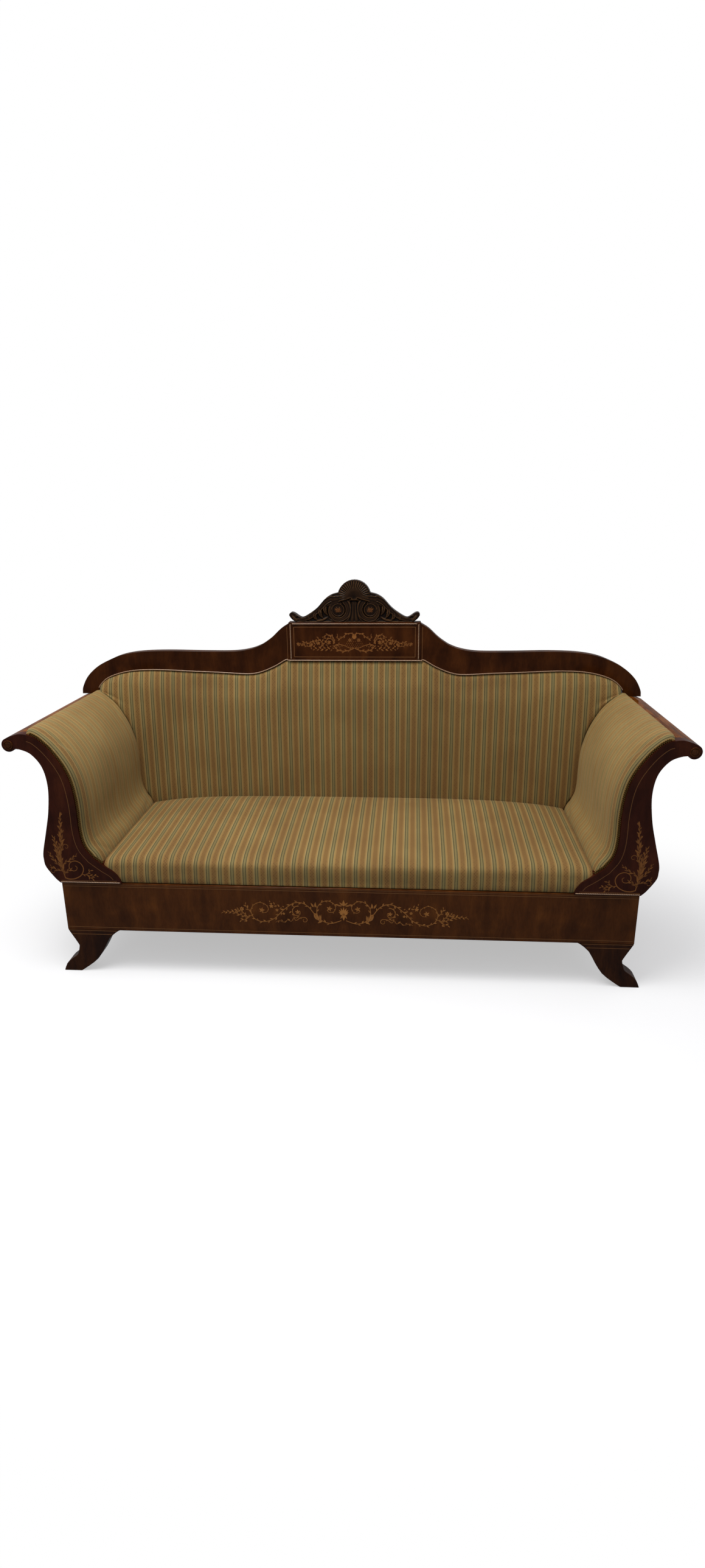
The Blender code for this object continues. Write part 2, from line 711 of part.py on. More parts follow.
def make_gimp(side, word):
    edge = inner_edge()
    edge = edge[edge[:, 0] < arm_rail_in]
    near = shifted(edge, -2 * gap)
    far = shifted(edge, -gimp_width)
    outline = np.vstack([near, far[::-1]])
    board(word + "_arm_gimp", mirrored(outline, side), arm_pad_start - gap - gimp_thickness,
          gimp_thickness, braid)


def make_seat_pad(facade_rooms):
    # a crowned top, a rounded front edge and a front face that drops to the rail
    edge_top = rail_top + seat_edge
    across = [-1.0, -0.985, -0.95, -0.88, -0.75, -0.5, -0.25, 0.0]
    across = np.array(across + [-share for share in across[-2::-1]])
    rear_edge = seat_rear - gap
    front = [(0.13, 0.0), (0.0, 0.3), (0.0, 0.6), (0.13, 0.84), (0.43, 0.95), (1.0, 1.0)]
    under = [0.13, 0.27, 0.40, 0.60, 0.87, 1.33]
    top = [(0.14, 1.2), (0.36, 1.55), (0.62, 1.85), (0.85, 2.0), (1.0, 1.95)]
    rear_part = [(rear_edge * out, height) for out, height in top]
    route = np.array([(seat_round * out, height) for out, height in front] + rear_part)
    under = [seat_round * out for out in under] + [out for out, height in rear_part]

    def face(share, along):
        x = np.interp(share, np.linspace(0, 1, len(across)), across)
        depth, height = line_at(route, along)
        swell = max(height - 1.0, 0.0)
        lift = swell * (seat_rise + seat_crown * (1 - abs(x) ** 4))
        rounding = 0.05 * seat_edge * min(height, 1.0) * abs(x) ** 12
        return x * crease, depth, between(seat_low, edge_top, min(height, 1.0)) + lift - rounding

    def rear(share, along):
        x = np.interp(share, np.linspace(0, 1, len(across)), across)
        depth = np.interp(along, np.linspace(0, 1, len(under)), under)
        return x * crease, depth, seat_low

    pad = padded("seat_pad", len(across) - 1, len(route) - 1, face, rear, striped_cloth)
    for room in facade_rooms:
        cut(pad, room)


def up_to(line, limit):
    # the stretch of a line whose x grows, up to x = limit
    kept = line[line[:, 0] < limit - 0.0005]
    return np.vstack([kept, [(limit, np.interp(limit, line[:, 0], line[:, 1]))]])


def refined(line, count):
    # the same line, its longest spans halved until it has the given number of points
    line = list(line)
    while len(line) < count:
        spans = [np.linalg.norm(there - here) for here, there in zip(line, line[1:])]
        longest = int(np.argmax(spans))
        line.insert(longest + 1, (line[longest] + line[longest + 1]) / 2)
    return np.array(line)


def back_pad_half_lines():
    # the lower edge runs along the seat and up the arm pad; the upper edge follows the crest rail
    limit = crest_lower[-1][0] - back_pad_corner
    arm = shifted(arm_face, -gap)[::-1]
    arm = up_to(arm[arm[:, 1] > lower_rail_top + 0.004], limit)
    edge = up_to(np.vstack([[(0.0, tablet_bottom)], crest_lower]), limit) - (0.0, gap)
    middle = edge[edge[:, 0] < 0.8 * crease]
    side = edge[len(middle):]
    count = max(len(arm), len(side))
    seat_x = middle[:, 0] * crease / middle[-1][0]
    seat = np.stack([seat_x, np.full(len(middle), lower_rail_top + gap)], 1)
    lower = np.vstack([seat, refined(arm, count)])
    upper = np.vstack([middle, refined(side, count)])
    return lower, upper


def make_back_pad():
    lower, upper = back_pad_half_lines()
    lower = np.vstack([mirrored(lower[:0:-1], -1), lower])
    upper = np.vstack([mirrored(upper[:0:-1], -1), upper])
    rises = [0.0, 0.15, 0.38, 0.62, 0.82, 0.93, 1.0]

    def patch(share, rise):
        rise = np.interp(rise, np.linspace(0, 1, len(rises)), rises)
        point = between(line_at(lower, share), line_at(upper, share), rise)
        return point, rise

    def face(share, rise):
        point, rise = patch(share, rise)
        fall = (1 - rise) ** 0.35
        near_end = 1 - 0.45 * abs(2 * share - 1) ** 6
        tucked = back_front + back_pad_tuck
        return point[0], tucked - (back_pad_proud + back_pad_tuck) * fall * near_end, point[1]

    def rear(share, rise):
        point, rise = patch(share, rise)
        return point[0], pad_rear, point[1]

    padded("back_pad", len(lower) - 1, len(rises) - 1, face, rear, striped_cloth)
    canvas = np.vstack([lower, upper[::-1] - (0.0, gap)])
    board("back_canvas", canvas, pad_rear + gap, canvas_thickness, linen)


def make_springing():
    inside = frame_depth - rail_thickness
    depth_room = inside - rail_thickness
    # cross straps run under the springs, between them and beside the outer ones
    cross_lines = np.linspace(-crease, crease, 2 * spring_columns + 1)
    columns = cross_lines[1::2]
    rows = [rail_thickness + (number + 0.5) * depth_room / spring_rows for number in range(spring_rows)]
    long_lines = sorted(rows + [(here + there) / 2 for here, there in zip(rows, rows[1:])])
    rail_in = frame_end - rail_thickness - gap
    half = webbing_width / 2
    lift = webbing_thickness / 2
    webbing = block("seat_webbing", (-rail_in, long_lines[0] - half, webbing_low),
                    (rail_in, long_lines[0] + half, webbing_low + webbing_thickness), jute)
    for number, depth in enumerate(long_lines[1:]):
        strap = block(f"long_strap_{number}", (-rail_in, depth - half, webbing_low),
                      (rail_in, depth + half, webbing_low + webbing_thickness), jute, target=cutters)
        cut(webbing, strap, "UNION")
    for number, x in enumerate(cross_lines):
        strap = block(f"cross_strap_{number}", (x - half, rail_thickness + gap, webbing_low + lift),
                      (x + half, inside - gap, webbing_low + lift + webbing_thickness), jute, target=cutters)
        cut(webbing, strap, "UNION")
    block("spring_canvas", (-crease, rail_thickness + gap, canvas_low),
          (crease, pad_rear, canvas_low + canvas_thickness), linen)
    base = webbing_low + lift + webbing_thickness + gap + spring_wire
    top = canvas_low - gap - spring_wire
    least = 1.0
    for row, depth in enumerate(rows):
        for column, x in enumerate(columns):
            path = spring_path(x, depth, base, top)
            least = min(least, least_gap(path))
            parts.objects.link(tube(f"seat_spring_{row}{column}", path, spring_wire, spring_steel))
    print(f"least gap of a spring to itself: {least * 1000:.2f} mm")


def spring_path(x, depth, base, top):
    # an hourglass coil with 8 points to a turn
    path = []
    for step in range(8 * spring_turns + 1):
        share = step / (8 * spring_turns)
        radius = between(spring_waist, spring_radius, abs(2 * share - 1) ** 1.5)
        angle = 2 * math.pi * spring_turns * share
        across, back = radius * math.cos(angle), radius * math.sin(angle)
        path.append((x + across, depth + back, between(base, top, share)))
    return path


def least_gap(path):
    # between points of the wire at least half a turn apart
    points = np.array(path)
    apart = np.linalg.norm(points[:, None] - points[None], axis=2)
    steps = np.abs(np.subtract.outer(np.arange(len(points)), np.arange(len(points))))
    return apart[steps >= 4].min() - 2 * spring_wire


make_seat_frame()
make_feet()
rooms = []
for arm_side, arm_word in ((-1, "left"), (1, "right")):
    make_arm_woodwork(arm_side, arm_word)
    rooms.append(make_arm_pad(arm_side, arm_word))
    make_gimp(arm_side, arm_word)
make_back_frame()
make_crest()
make_seat_pad(rooms)
make_back_pad()
make_springing()
bpy.context.view_layer.update()
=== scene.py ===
import math
from functools import partial

import bmesh
import bpy
import numpy as np
from mathutils import Matrix, Vector


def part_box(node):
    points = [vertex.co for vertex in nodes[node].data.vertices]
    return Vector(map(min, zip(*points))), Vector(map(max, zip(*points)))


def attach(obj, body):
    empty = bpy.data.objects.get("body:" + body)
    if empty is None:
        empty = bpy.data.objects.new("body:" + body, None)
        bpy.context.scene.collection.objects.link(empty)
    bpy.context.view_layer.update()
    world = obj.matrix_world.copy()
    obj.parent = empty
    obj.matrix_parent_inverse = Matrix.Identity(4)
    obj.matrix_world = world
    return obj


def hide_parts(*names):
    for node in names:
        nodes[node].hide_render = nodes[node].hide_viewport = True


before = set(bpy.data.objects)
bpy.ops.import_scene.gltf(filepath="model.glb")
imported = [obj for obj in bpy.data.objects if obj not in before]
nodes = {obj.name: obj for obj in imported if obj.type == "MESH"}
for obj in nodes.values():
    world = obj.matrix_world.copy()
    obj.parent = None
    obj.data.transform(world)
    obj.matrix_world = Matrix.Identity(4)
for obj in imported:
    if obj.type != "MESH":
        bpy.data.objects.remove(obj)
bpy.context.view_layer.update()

scene = bpy.context.scene
touching = 0.0003            # clearance between pieces that touch
bothSides = ((-1, "left"), (1, "right"))


def linear(hexColour):
    # an sRGB hex value as a linear colour
    parts = [int(hexColour[place:place + 2], 16) / 255 for place in (1, 3, 5)]
    parts = [part / 12.92 if part <= 0.04045 else ((part + 0.055) / 1.055) ** 2.4 for part in parts]
    return (*parts, 1.0)


def addNode(tree, kind, links=(), stops=(), out=0, **settings):
    # links feed the inputs, in turn or by name, with sockets, hex colours or values; stops are a ramp's
    # places and hex colours; what comes back is the node's output
    node = tree.nodes.new("ShaderNode" + kind)
    for name, value in settings.items():
        setattr(node, name, value)
    for name, value in links.items() if isinstance(links, dict) else enumerate(links):
        if isinstance(value, bpy.types.NodeSocket):
            tree.links.new(value, node.inputs[name])
        else:
            node.inputs[name].default_value = linear(value) if isinstance(value, str) else value
    for number, (place, colour) in enumerate(stops):
        ramp = node.color_ramp.elements
        element = ramp[number] if number < len(ramp) else ramp.new(1.0)
        element.position, element.color = place, linear(colour)
    return node.outputs[out]


def newMaterial(name, **sockets):
    material = bpy.data.materials.new(name)
    material.use_nodes = True
    shader = material.node_tree.nodes["Principled BSDF"]
    for socket, value in sockets.items():
        shader.inputs[socket.replace("_", " ")].default_value = value
    return material, partial(addNode, material.node_tree)


def wired(material, **sockets):
    # the same material, with these outputs linked to its shader
    tree = material.node_tree
    for socket, output in sockets.items():
        tree.links.new(output, tree.nodes["Principled BSDF"].inputs[socket.replace("_", " ")])
    return material


# Lines as arrays of points

def smoothLine(points, steps):
    # a Catmull-Rom line through the points
    points = np.array(points, float)
    knots = np.vstack([2 * points[0] - points[1], points, 2 * points[-1] - points[-2]])
    line = []
    for start in range(len(points) - 1):
        a, b, c, d = knots[start:start + 4]
        for step in range(steps):
            t = step / steps
            line.append(0.5 * (2 * b + (c - a) * t + (2 * a - 5 * b + 4 * c - d) * t ** 2
                               + (3 * b - a - 3 * c + d) * t ** 3))
    line.append(points[-1])
    return np.array(line)


def along(line):
    # how far each point lies from the line's start
    return np.concatenate([[0.0], np.cumsum(np.linalg.norm(np.diff(line, axis=0), axis=1))])


def evenly(line, spacing):
    # the same line with its points at an even spacing
    line = np.array(line, float)
    lengths = along(line)
    places = np.linspace(0, lengths[-1], max(int(round(lengths[-1] / spacing)), 1) + 1)
    return np.stack([np.interp(places, lengths, line[:, axis]) for axis in range(line.shape[1])], 1)


def at(line, share):
    # the point of a line at a share of its length
    lengths = along(line)
    return np.array([np.interp(share * lengths[-1], lengths, line[:, axis]) for axis in range(2)])


def heading(line):
    ahead = np.gradient(line, axis=0)
    return ahead / np.maximum(np.linalg.norm(ahead, axis=1), 1e-9)[:, None]


def leftOf(line):
    ahead = heading(line)
    return np.stack([-ahead[:, 1], ahead[:, 0]], 1)


def sideways(line, distance):
    # a flat line moved to the left of its own direction
    return line + distance * leftOf(line)


def arc(x, z, radii, angles):
    # points round a centre, angles in degrees
    angles = np.radians(angles)
    return np.stack([x + radii * np.cos(angles), z + radii * np.sin(angles)], 1)


def mix(start, stop, share):
    return start + (stop - start) * share


def toMirror(line):
    return np.array(line) * ((-1, 1) if len(line[0]) == 2 else (-1, 1, 1))


def onSide(line, side):
    return line if side > 0 else toMirror(line)


def mm(*values):
    # (x, z) points in metres from pairs in millimetres
    return [(x / 1000, z / 1000) for x, z in zip(values[::2], values[1::2])]


# Making and finishing pieces

def clearSelection():
    if bpy.context.object and bpy.context.object.mode != "OBJECT":
        bpy.ops.object.mode_set(mode="OBJECT")
    bpy.ops.object.select_all(action="DESELECT")


def pick(*pieces):
    clearSelection()
    for piece in pieces:
        piece.select_set(True)
    bpy.context.view_layer.objects.active = pieces[0]


def modified(piece, kind, **settings):
    # one modifier, applied at once
    modifier = piece.modifiers.new(kind.lower(), kind)
    for name, value in settings.items():
        setattr(modifier, name, value)
    pick(piece)
    bpy.ops.object.modifier_apply(modifier=modifier.name)


def settle(piece):
    # puts the piece's place into its mesh
    pick(piece)
    bpy.ops.object.transform_apply(location=True, rotation=True, scale=True)


def facedOut(piece, merge=0.0):
    pick(piece)
    bpy.ops.object.mode_set(mode="EDIT")
    bpy.ops.mesh.select_all(action="SELECT")
    if merge:
        bpy.ops.mesh.remove_doubles(threshold=merge)
    bpy.ops.mesh.normals_make_consistent(inside=False)
    bpy.ops.object.mode_set(mode="OBJECT")


def dress(piece, material, smooth=None, replaced=None):
    piece.data.materials.clear()
    piece.data.materials.append(material)
    if smooth:
        pick(piece)
        bpy.ops.object.shade_smooth_by_angle(angle=math.radians(smooth))
    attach(piece, "root")
    if replaced:
        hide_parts(replaced)
    return piece


def placed(name, data):
    thing = bpy.data.objects.new(name, data)
    scene.collection.objects.link(thing)
    return thing


def fromShape(name, shape):
    bmesh.ops.recalc_face_normals(shape, faces=shape.faces)
    mesh = bpy.data.meshes.new(name)
    shape.to_mesh(mesh)
    shape.free()
    return placed(name, mesh)


def joined(pieces, name):
    pick(*pieces)
    if len(pieces) > 1:
        bpy.ops.object.join()
    pieces[0].name = pieces[0].data.name = name
    return pieces[0]


def plateOf(name, outline, front, rear):
    # a flat closed outline of (x, z) points, filled, as a plate between two depths
    curve = bpy.data.curves.new(name, "CURVE")
    curve.dimensions = "2D"
    curve.fill_mode = "BOTH"
    curve.extrude = (rear - front) / 2
    spline = curve.splines.new("POLY")
    spline.points.add(len(outline) - 1)
    for point, (x, z) in zip(spline.points, outline):
        point.co = (x, z, 0, 1)
    spline.use_cyclic_u = True
    piece = placed(name, curve)
    piece.rotation_euler = (math.pi / 2, 0, 0)
    piece.location = (0, (front + rear) / 2, 0)
    pick(piece)
    bpy.ops.object.convert(target="MESH")
    settle(piece)
    facedOut(piece, 0.00001)
    return piece


def strip(shape, left, right, side, front, rear):
    # a ribbon between two edges as a thin closed plate; says how many faces it took
    (frontLeft, frontRight), (rearLeft, rearRight) = [
        [[shape.verts.new((side * x, depth, z)) for x, z in edge] for edge in (left, right)]
        for depth in (front, rear)]
    for here in range(len(left) - 1):
        for a, b in ((frontLeft, frontRight), (rearRight, rearLeft), (rearLeft, frontLeft),
                     (frontRight, rearRight)):
            shape.faces.new((a[here], a[here + 1], b[here + 1], b[here]))
    for end in (0, -1):
        shape.faces.new((frontLeft[end], frontRight[end], rearRight[end], rearLeft[end]))
    return 4 * len(left) - 2


def skin(shape, rings):
    # gives the faces between neighbouring rings of points in turn, then puts a lid on both ends
    for here, there in zip(rings, rings[1:]):
        for corner in range(len(here)):
            after = (corner + 1) % len(here)
            yield shape.faces.new((here[corner], here[after], there[after], there[corner]))
    shape.faces.new(rings[0][::-1])
    shape.faces.new(rings[-1])


def tones(piece, values):
    piece.data.attributes.new("tone", "FLOAT", "FACE").data.foreach_set("value", values)


def bar(name, path, radius, sides, lobes=0, pitch=1.0, depth=0.0):
    # a bar along a path, its section round or with lobes that twist once in every pitch
    path = np.array(path, float)
    run = along(path)
    shape = bmesh.new()
    layer = shape.loops.layers.uv.new("weave")
    ahead = heading(path)
    side = np.cross(ahead[0], (0.0, 1.0, 0.0))
    side = side if np.linalg.norm(side) > 0.1 else np.array((1.0, 0.0, 0.0))
    rings = []
    for centre, forward, far in zip(path, ahead, run):
        side = side - forward * (side @ forward)
        side /= np.linalg.norm(side)
        up = np.cross(side, forward)
        ring = []
        for step in range(sides):
            angle = 2 * math.pi * step / sides
            swell = 1 - depth * (0.5 - 0.5 * math.cos(lobes * angle - 2 * math.pi * lobes * far / pitch))
            ring.append(shape.verts.new(centre + radius * swell * (math.cos(angle) * side
                                                                    + math.sin(angle) * up)))
        rings.append(ring)
    for number, face in enumerate(skin(shape, rings)):
        place, step = divmod(number, sides)
        spots = ((step, place), (step + 1, place), (step + 1, place + 1), (step, place + 1))
        for loop, (around, far) in zip(face.loops, spots):
            loop[layer].uv = (around / sides, run[far])
    return fromShape(name, shape)


# The lines of the sofa, for the side at +X, from the part's own values

sofa = {
    "crease": 0.7865,            # half the seat's width between the arm pads
    "frameEnd": 0.930,           # half the seat frame's length
    "waistOut": 0.9319,
    "waistIn": 0.850,
    "belly": 0.048,
    "facadeTip": 0.727,
    "facadeThick": 0.035,
    "railTop": 0.330,
    "armHeight": 0.833,
    "armRailIn": 0.985,          # where the polished arm rail meets the cloth
    "scroll": (1.040, 0.798),
    "scrollRadius": 0.022,
    "tabletEnd": 0.240,
    "crestEnd": 1.039,
    "tabletBottom": 0.9595,
    "tabletTop": 1.100,
    "crestEaves": 0.9225,
    "crestShoulder": 0.996,
    "depth": 0.640,
    "padLow": 0.3453,            # the arm cloths' lower edge
    "backLow": 0.3953,           # where the back's cloth goes down behind the seat
}
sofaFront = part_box("front_seat_rail")[0][1]
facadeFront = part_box("left_arm_facade")[0][1]
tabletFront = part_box("crest_tablet")[0][1]
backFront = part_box("right_crest_rail")[0][1]
crestFront = backFront + 0.004


def fromShares(places, xs, zs):
    # points from their shares of the way between two x and two z
    return [(mix(*xs, out), mix(*zs, up)) for out, up in places]


armSpan = (sofa["railTop"] + touching, sofa["armHeight"])
toScroll = (sofa["waistIn"], sofa["scroll"][0])
toTip = (sofa["waistIn"], sofa["facadeTip"])


def outerEdge(steps):
    lower = [(0.04, 0.0), (0.38, 0.034), (0.90, 0.109), (1.0, 0.159), (0.96, 0.219), (0.58, 0.358),
             (0.23, 0.497), (0.04, 0.656)]
    upper = [(0.09, 0.785), (0.37, 0.871), (0.70, 0.903), (0.80, 0.900)]
    return smoothLine(fromShares(lower, (sofa["frameEnd"], sofa["frameEnd"] + sofa["belly"]), armSpan)
                      + fromShares(upper, (sofa["waistOut"], sofa["scroll"][0]), armSpan), steps)


def innerEdge(steps):
    upper = [(0.97, 0.984), (0.816, 1.0), (0.658, 0.994), (0.526, 0.970), (0.342, 0.901), (0.158, 0.795),
             (0.053, 0.686), (0.005, 0.537), (0.0, 0.358)]
    return smoothLine(fromShares(upper, toScroll, armSpan)
                      + fromShares([(0.081, 0.254), (0.285, 0.179)], toTip, armSpan), steps)


def toeEdge(steps):
    places = [(0.285, 0.179), (0.569, 0.124), (0.813, 0.083), (0.951, 0.040), (1.0, 0.0)]
    return smoothLine(fromShares(places, toTip, armSpan), steps)


def scrollEdge(steps):
    return arc(*sofa["scroll"], sofa["scrollRadius"], np.linspace(-146, 62, steps))


def crestLine(rising, falling, shoulder, top, steps):
    xs = (sofa["tabletEnd"] + touching, sofa["crestEnd"])
    foot = sofa["armHeight"] + touching
    return smoothLine(fromShares(rising, xs, (shoulder, top))
                      + fromShares(falling, xs, (foot, shoulder)), steps)


def crestTop(steps):
    rising = [(0.0, 0.95), (0.037, 0.77), (0.075, 0.50), (0.106, 0.32), (0.137, 0.18), (0.187, 0.05),
              (0.262, -0.03), (0.40, -0.035), (0.574, -0.015)]
    falling = [(0.698, 0.970), (0.786, 0.904), (0.854, 0.784), (0.916, 0.622), (0.966, 0.399),
               (0.994, 0.159), (1.0, 0.0)]
    return crestLine(rising, falling, sofa["crestShoulder"], sofa["tabletTop"], steps)


def crestLower(steps):
    rising = [(0.0, 1.0), (0.015, 1.04), (0.043, 0.70), (0.075, 0.324)]
    falling = [(0.137, 0.914), (0.199, 0.838), (0.324, 0.892), (0.449, 0.935), (0.636, 1.0),
               (0.760, 0.935), (0.854, 0.697), (0.903, 0.362), (0.923, 0.0)]
    return crestLine(rising, falling, sofa["crestEaves"], sofa["tabletBottom"], steps)


# Finishes: woods as (dark, middle and light colour, figure's width, coat and its roughness, roughness,
# how strongly the pores are drawn, way of the grain)

woods = {
    # French-polished mahogany veneer: deep red-brown with a darker vertical figure under a clear gloss
    "front_veneer": ("#42230A", "#522D10", "#643A16", 0.060, 0.20, 0.12, 0.34, 0.22, "Z"),
    # the facades' veneer is redder
    "facade_veneer": ("#36170D", "#3F1B10", "#4A2313", 0.040, 0.18, 0.10, 0.32, 0.22, "Z"),
    "back_veneer": ("#301606", "#3E1F09", "#4E2A0F", 0.045, 0.14, 0.12, 0.34, 0.22, "Z"),
    # the arm rails are worn to a lighter orange-brown with a high gloss
    "arm_rail_mahogany": ("#4E290E", "#754316", "#935A26", 0.014, 0.12, 0.12, 0.30, 0.4, "Y"),
    "solid_mahogany": ("#281309", "#371C0D", "#462711", 0.030, 0.20, 0.16, 0.38, 0.35, "Z"),
    # the narrow facet along their inner edge, finished lighter and glossier than the rail as a painted
    # highlight
    "rail_facet": ("#5A3418", "#7A4A26", "#93603A", 0.014, 0.5, 0.08, 0.30, 0.3, "Y"),
    # the turned roundels are lighter than the facades that they sit on
    "roundel": ("#3C2010", "#4E2E18", "#5E3A20", 0.008, 0.15, 0.16, 0.38, 0.4, "Y"),
    # raw softwood carcass, yellow-brown with age, dull
    "aged_pine": ("#7A5A34", "#8A673C", "#9C774A", 0.012, 0.0, 0.3, 0.75, 0.6, "X"),
}
veneerLeaf = 0.46                # width of the front's leaves of veneer
clothPattern = {
    "repeat": 0.040,             # the stripes' repeat across the cloth
    "chain": 0.0105,             # the chain motif's repeat along the cloth
    "bow": 0.0044,               # how far the chain's two strands swing out
    "bold": 0.0014,              # half the widths of the two strands
    "line": 0.0009,
    "dot": 0.0013,               # the berry inside each link
    "thread": 0.0013,            # real threads lie about 0.5 mm apart; drawn coarser so that they show
}


def woodMaterial(name):
    *colours, figureWide, coat, coatRough, rough, drawn, grain = woods[name]
    material, add = newMaterial(name, Coat_Weight=coat, Coat_Roughness=coatRough, Coat_IOR=1.3,
                                Specular_IOR_Level=0.0)
    place = add("TexCoord", out="Object")
    if name == "front_veneer":
        # leaves of veneer laid side by side like the pages of a book
        x, y, z = add("SeparateXYZ", (place,)).node.outputs
        place = add("CombineXYZ", (add("Math", (x, veneerLeaf), operation="PINGPONG"), y, z))
    drift = add("TexNoise", {"Vector": place, "Scale": 7.0, "Detail": 2.0}, out="Color")
    drift = add("VectorMath", {0: drift, "Scale": 0.05}, operation="SCALE")
    place = add("VectorMath", (place, drift))
    noises = []
    # pores are about 0.3 mm wide; drawn coarser
    for wide, far, detail, harsh in ((figureWide, 0.22, 5.0, 0.6), (0.0022, 0.045, 3.0, 0.5)):
        scale = [1 / (far if axis == grain else wide) for axis in "XYZ"]
        spread = add("Mapping", {"Vector": place, "Scale": scale})
        noises.append(add("TexNoise", {"Vector": spread, "Scale": 1.0, "Detail": detail,
                                       "Roughness": harsh}))
    figure, pores = noises
    colour = add("ValToRGB", (figure,), tuple(zip((0.32, 0.5, 0.68), colours)))
    lines = add("ValToRGB", (pores,), ((0.36, "#8E857E"), (0.52, "#FFFFFF")))
    cloud = add("TexNoise", {"Vector": place, "Scale": 9.0, "Detail": 3.0, "Roughness": 0.6})
    cloud = add("ValToRGB", (cloud,), ((0.36, "#C2B4AC"), (0.62, "#FFF6EA")))
    for share, layer in ((drawn, lines), (0.85, cloud)):
        colour = add("Mix", {0: share, 6: colour, 7: layer}, out=2, data_type="RGBA",
                     blend_type="MULTIPLY")
    return wired(material, Base_Color=colour,
                 Roughness=add("MapRange", {0: figure, 3: rough + 0.07, 4: rough - 0.05}),
                 Normal=add("Bump", {"Strength": 0.12, "Distance": 0.0004, "Height": pores}))


def carvedMaterial():
    # carved mahogany, stained nearly black and waxed: its high places are painted lighter as a painted
    # highlight on the rims, and its deep places painted darker as painted shade in the hollows; the
    # attribute is +1 on the high places of the relief, -1 in its depths and 0 on plain board
    material, add = newMaterial("carved_mahogany", Coat_Weight=0.22, Coat_Roughness=0.16, Coat_IOR=1.3,
                                Specular_IOR_Level=0.0)
    worn = add("MapRange", (add("Attribute", out="Fac", attribute_name="worn"), -1.0, 1.0))
    # depths nearly black and high places brown: painted shade and painted highlight
    edges = add("ValToRGB", (worn,), ((0.15, "#0B0503"), (0.5, "#241408"), (0.85, "#48321E")))
    mottle = add("TexNoise", {"Vector": add("TexCoord", out="Object"), "Scale": 55.0, "Detail": 4.0})
    shade = add("ValToRGB", (mottle,), ((0.35, "#B4A99C"), (0.6, "#FFFFFF")))
    return wired(material, Base_Color=add("Mix", {0: 0.6, 6: edges, 7: shade}, out=2, data_type="RGBA",
                                          blend_type="MULTIPLY"),
                 Roughness=add("MapRange", {0: mottle, 3: 0.30, 4: 0.5}),
                 Normal=add("Bump", {"Strength": 0.25, "Distance": 0.0006, "Height": mottle}))


def inlayMaterial(name, dark, light, gloss=0.3):
    # pieces of light wood let into the veneer: each keeps its own tone, under the same polish
    material, add = newMaterial(name, Coat_Weight=gloss, Coat_Roughness=0.15, Coat_IOR=1.3,
                                Roughness=0.36, Specular_IOR_Level=0.0)
    tone = add("Attribute", out="Fac", attribute_name="tone")
    grain = add("TexNoise", {"Vector": add("TexCoord", out="Object"), "Scale": 260.0, "Detail": 3.0})
    mixed = add("Math", (grain, 0.35, tone), operation="MULTIPLY_ADD")
    return wired(material, Base_Color=add("ValToRGB", (mixed,), ((0.1, dark), (1.0, light))))


def ropeMaterial():
    # a bead of two light and dark woods twisted like a rope, polished
    material, add = newMaterial("twisted_rope_bead", Coat_Weight=0.4, Coat_Roughness=0.2, Roughness=0.4)
    around, far = add("SeparateXYZ", (add("UVMap", uv_map="weave"),)).node.outputs[:2]
    turns = add("Math", (far, -1 / rope["pitch"], around), operation="MULTIPLY_ADD")
    strand = add("Math", (turns, 0.25), operation="PINGPONG")
    strand = add("Math", (strand, 4.0), operation="MULTIPLY")
    return wired(material, Base_Color=add("ValToRGB", (strand,), ((0.22, "#3A2012"), (0.62, "#B08A66"))))


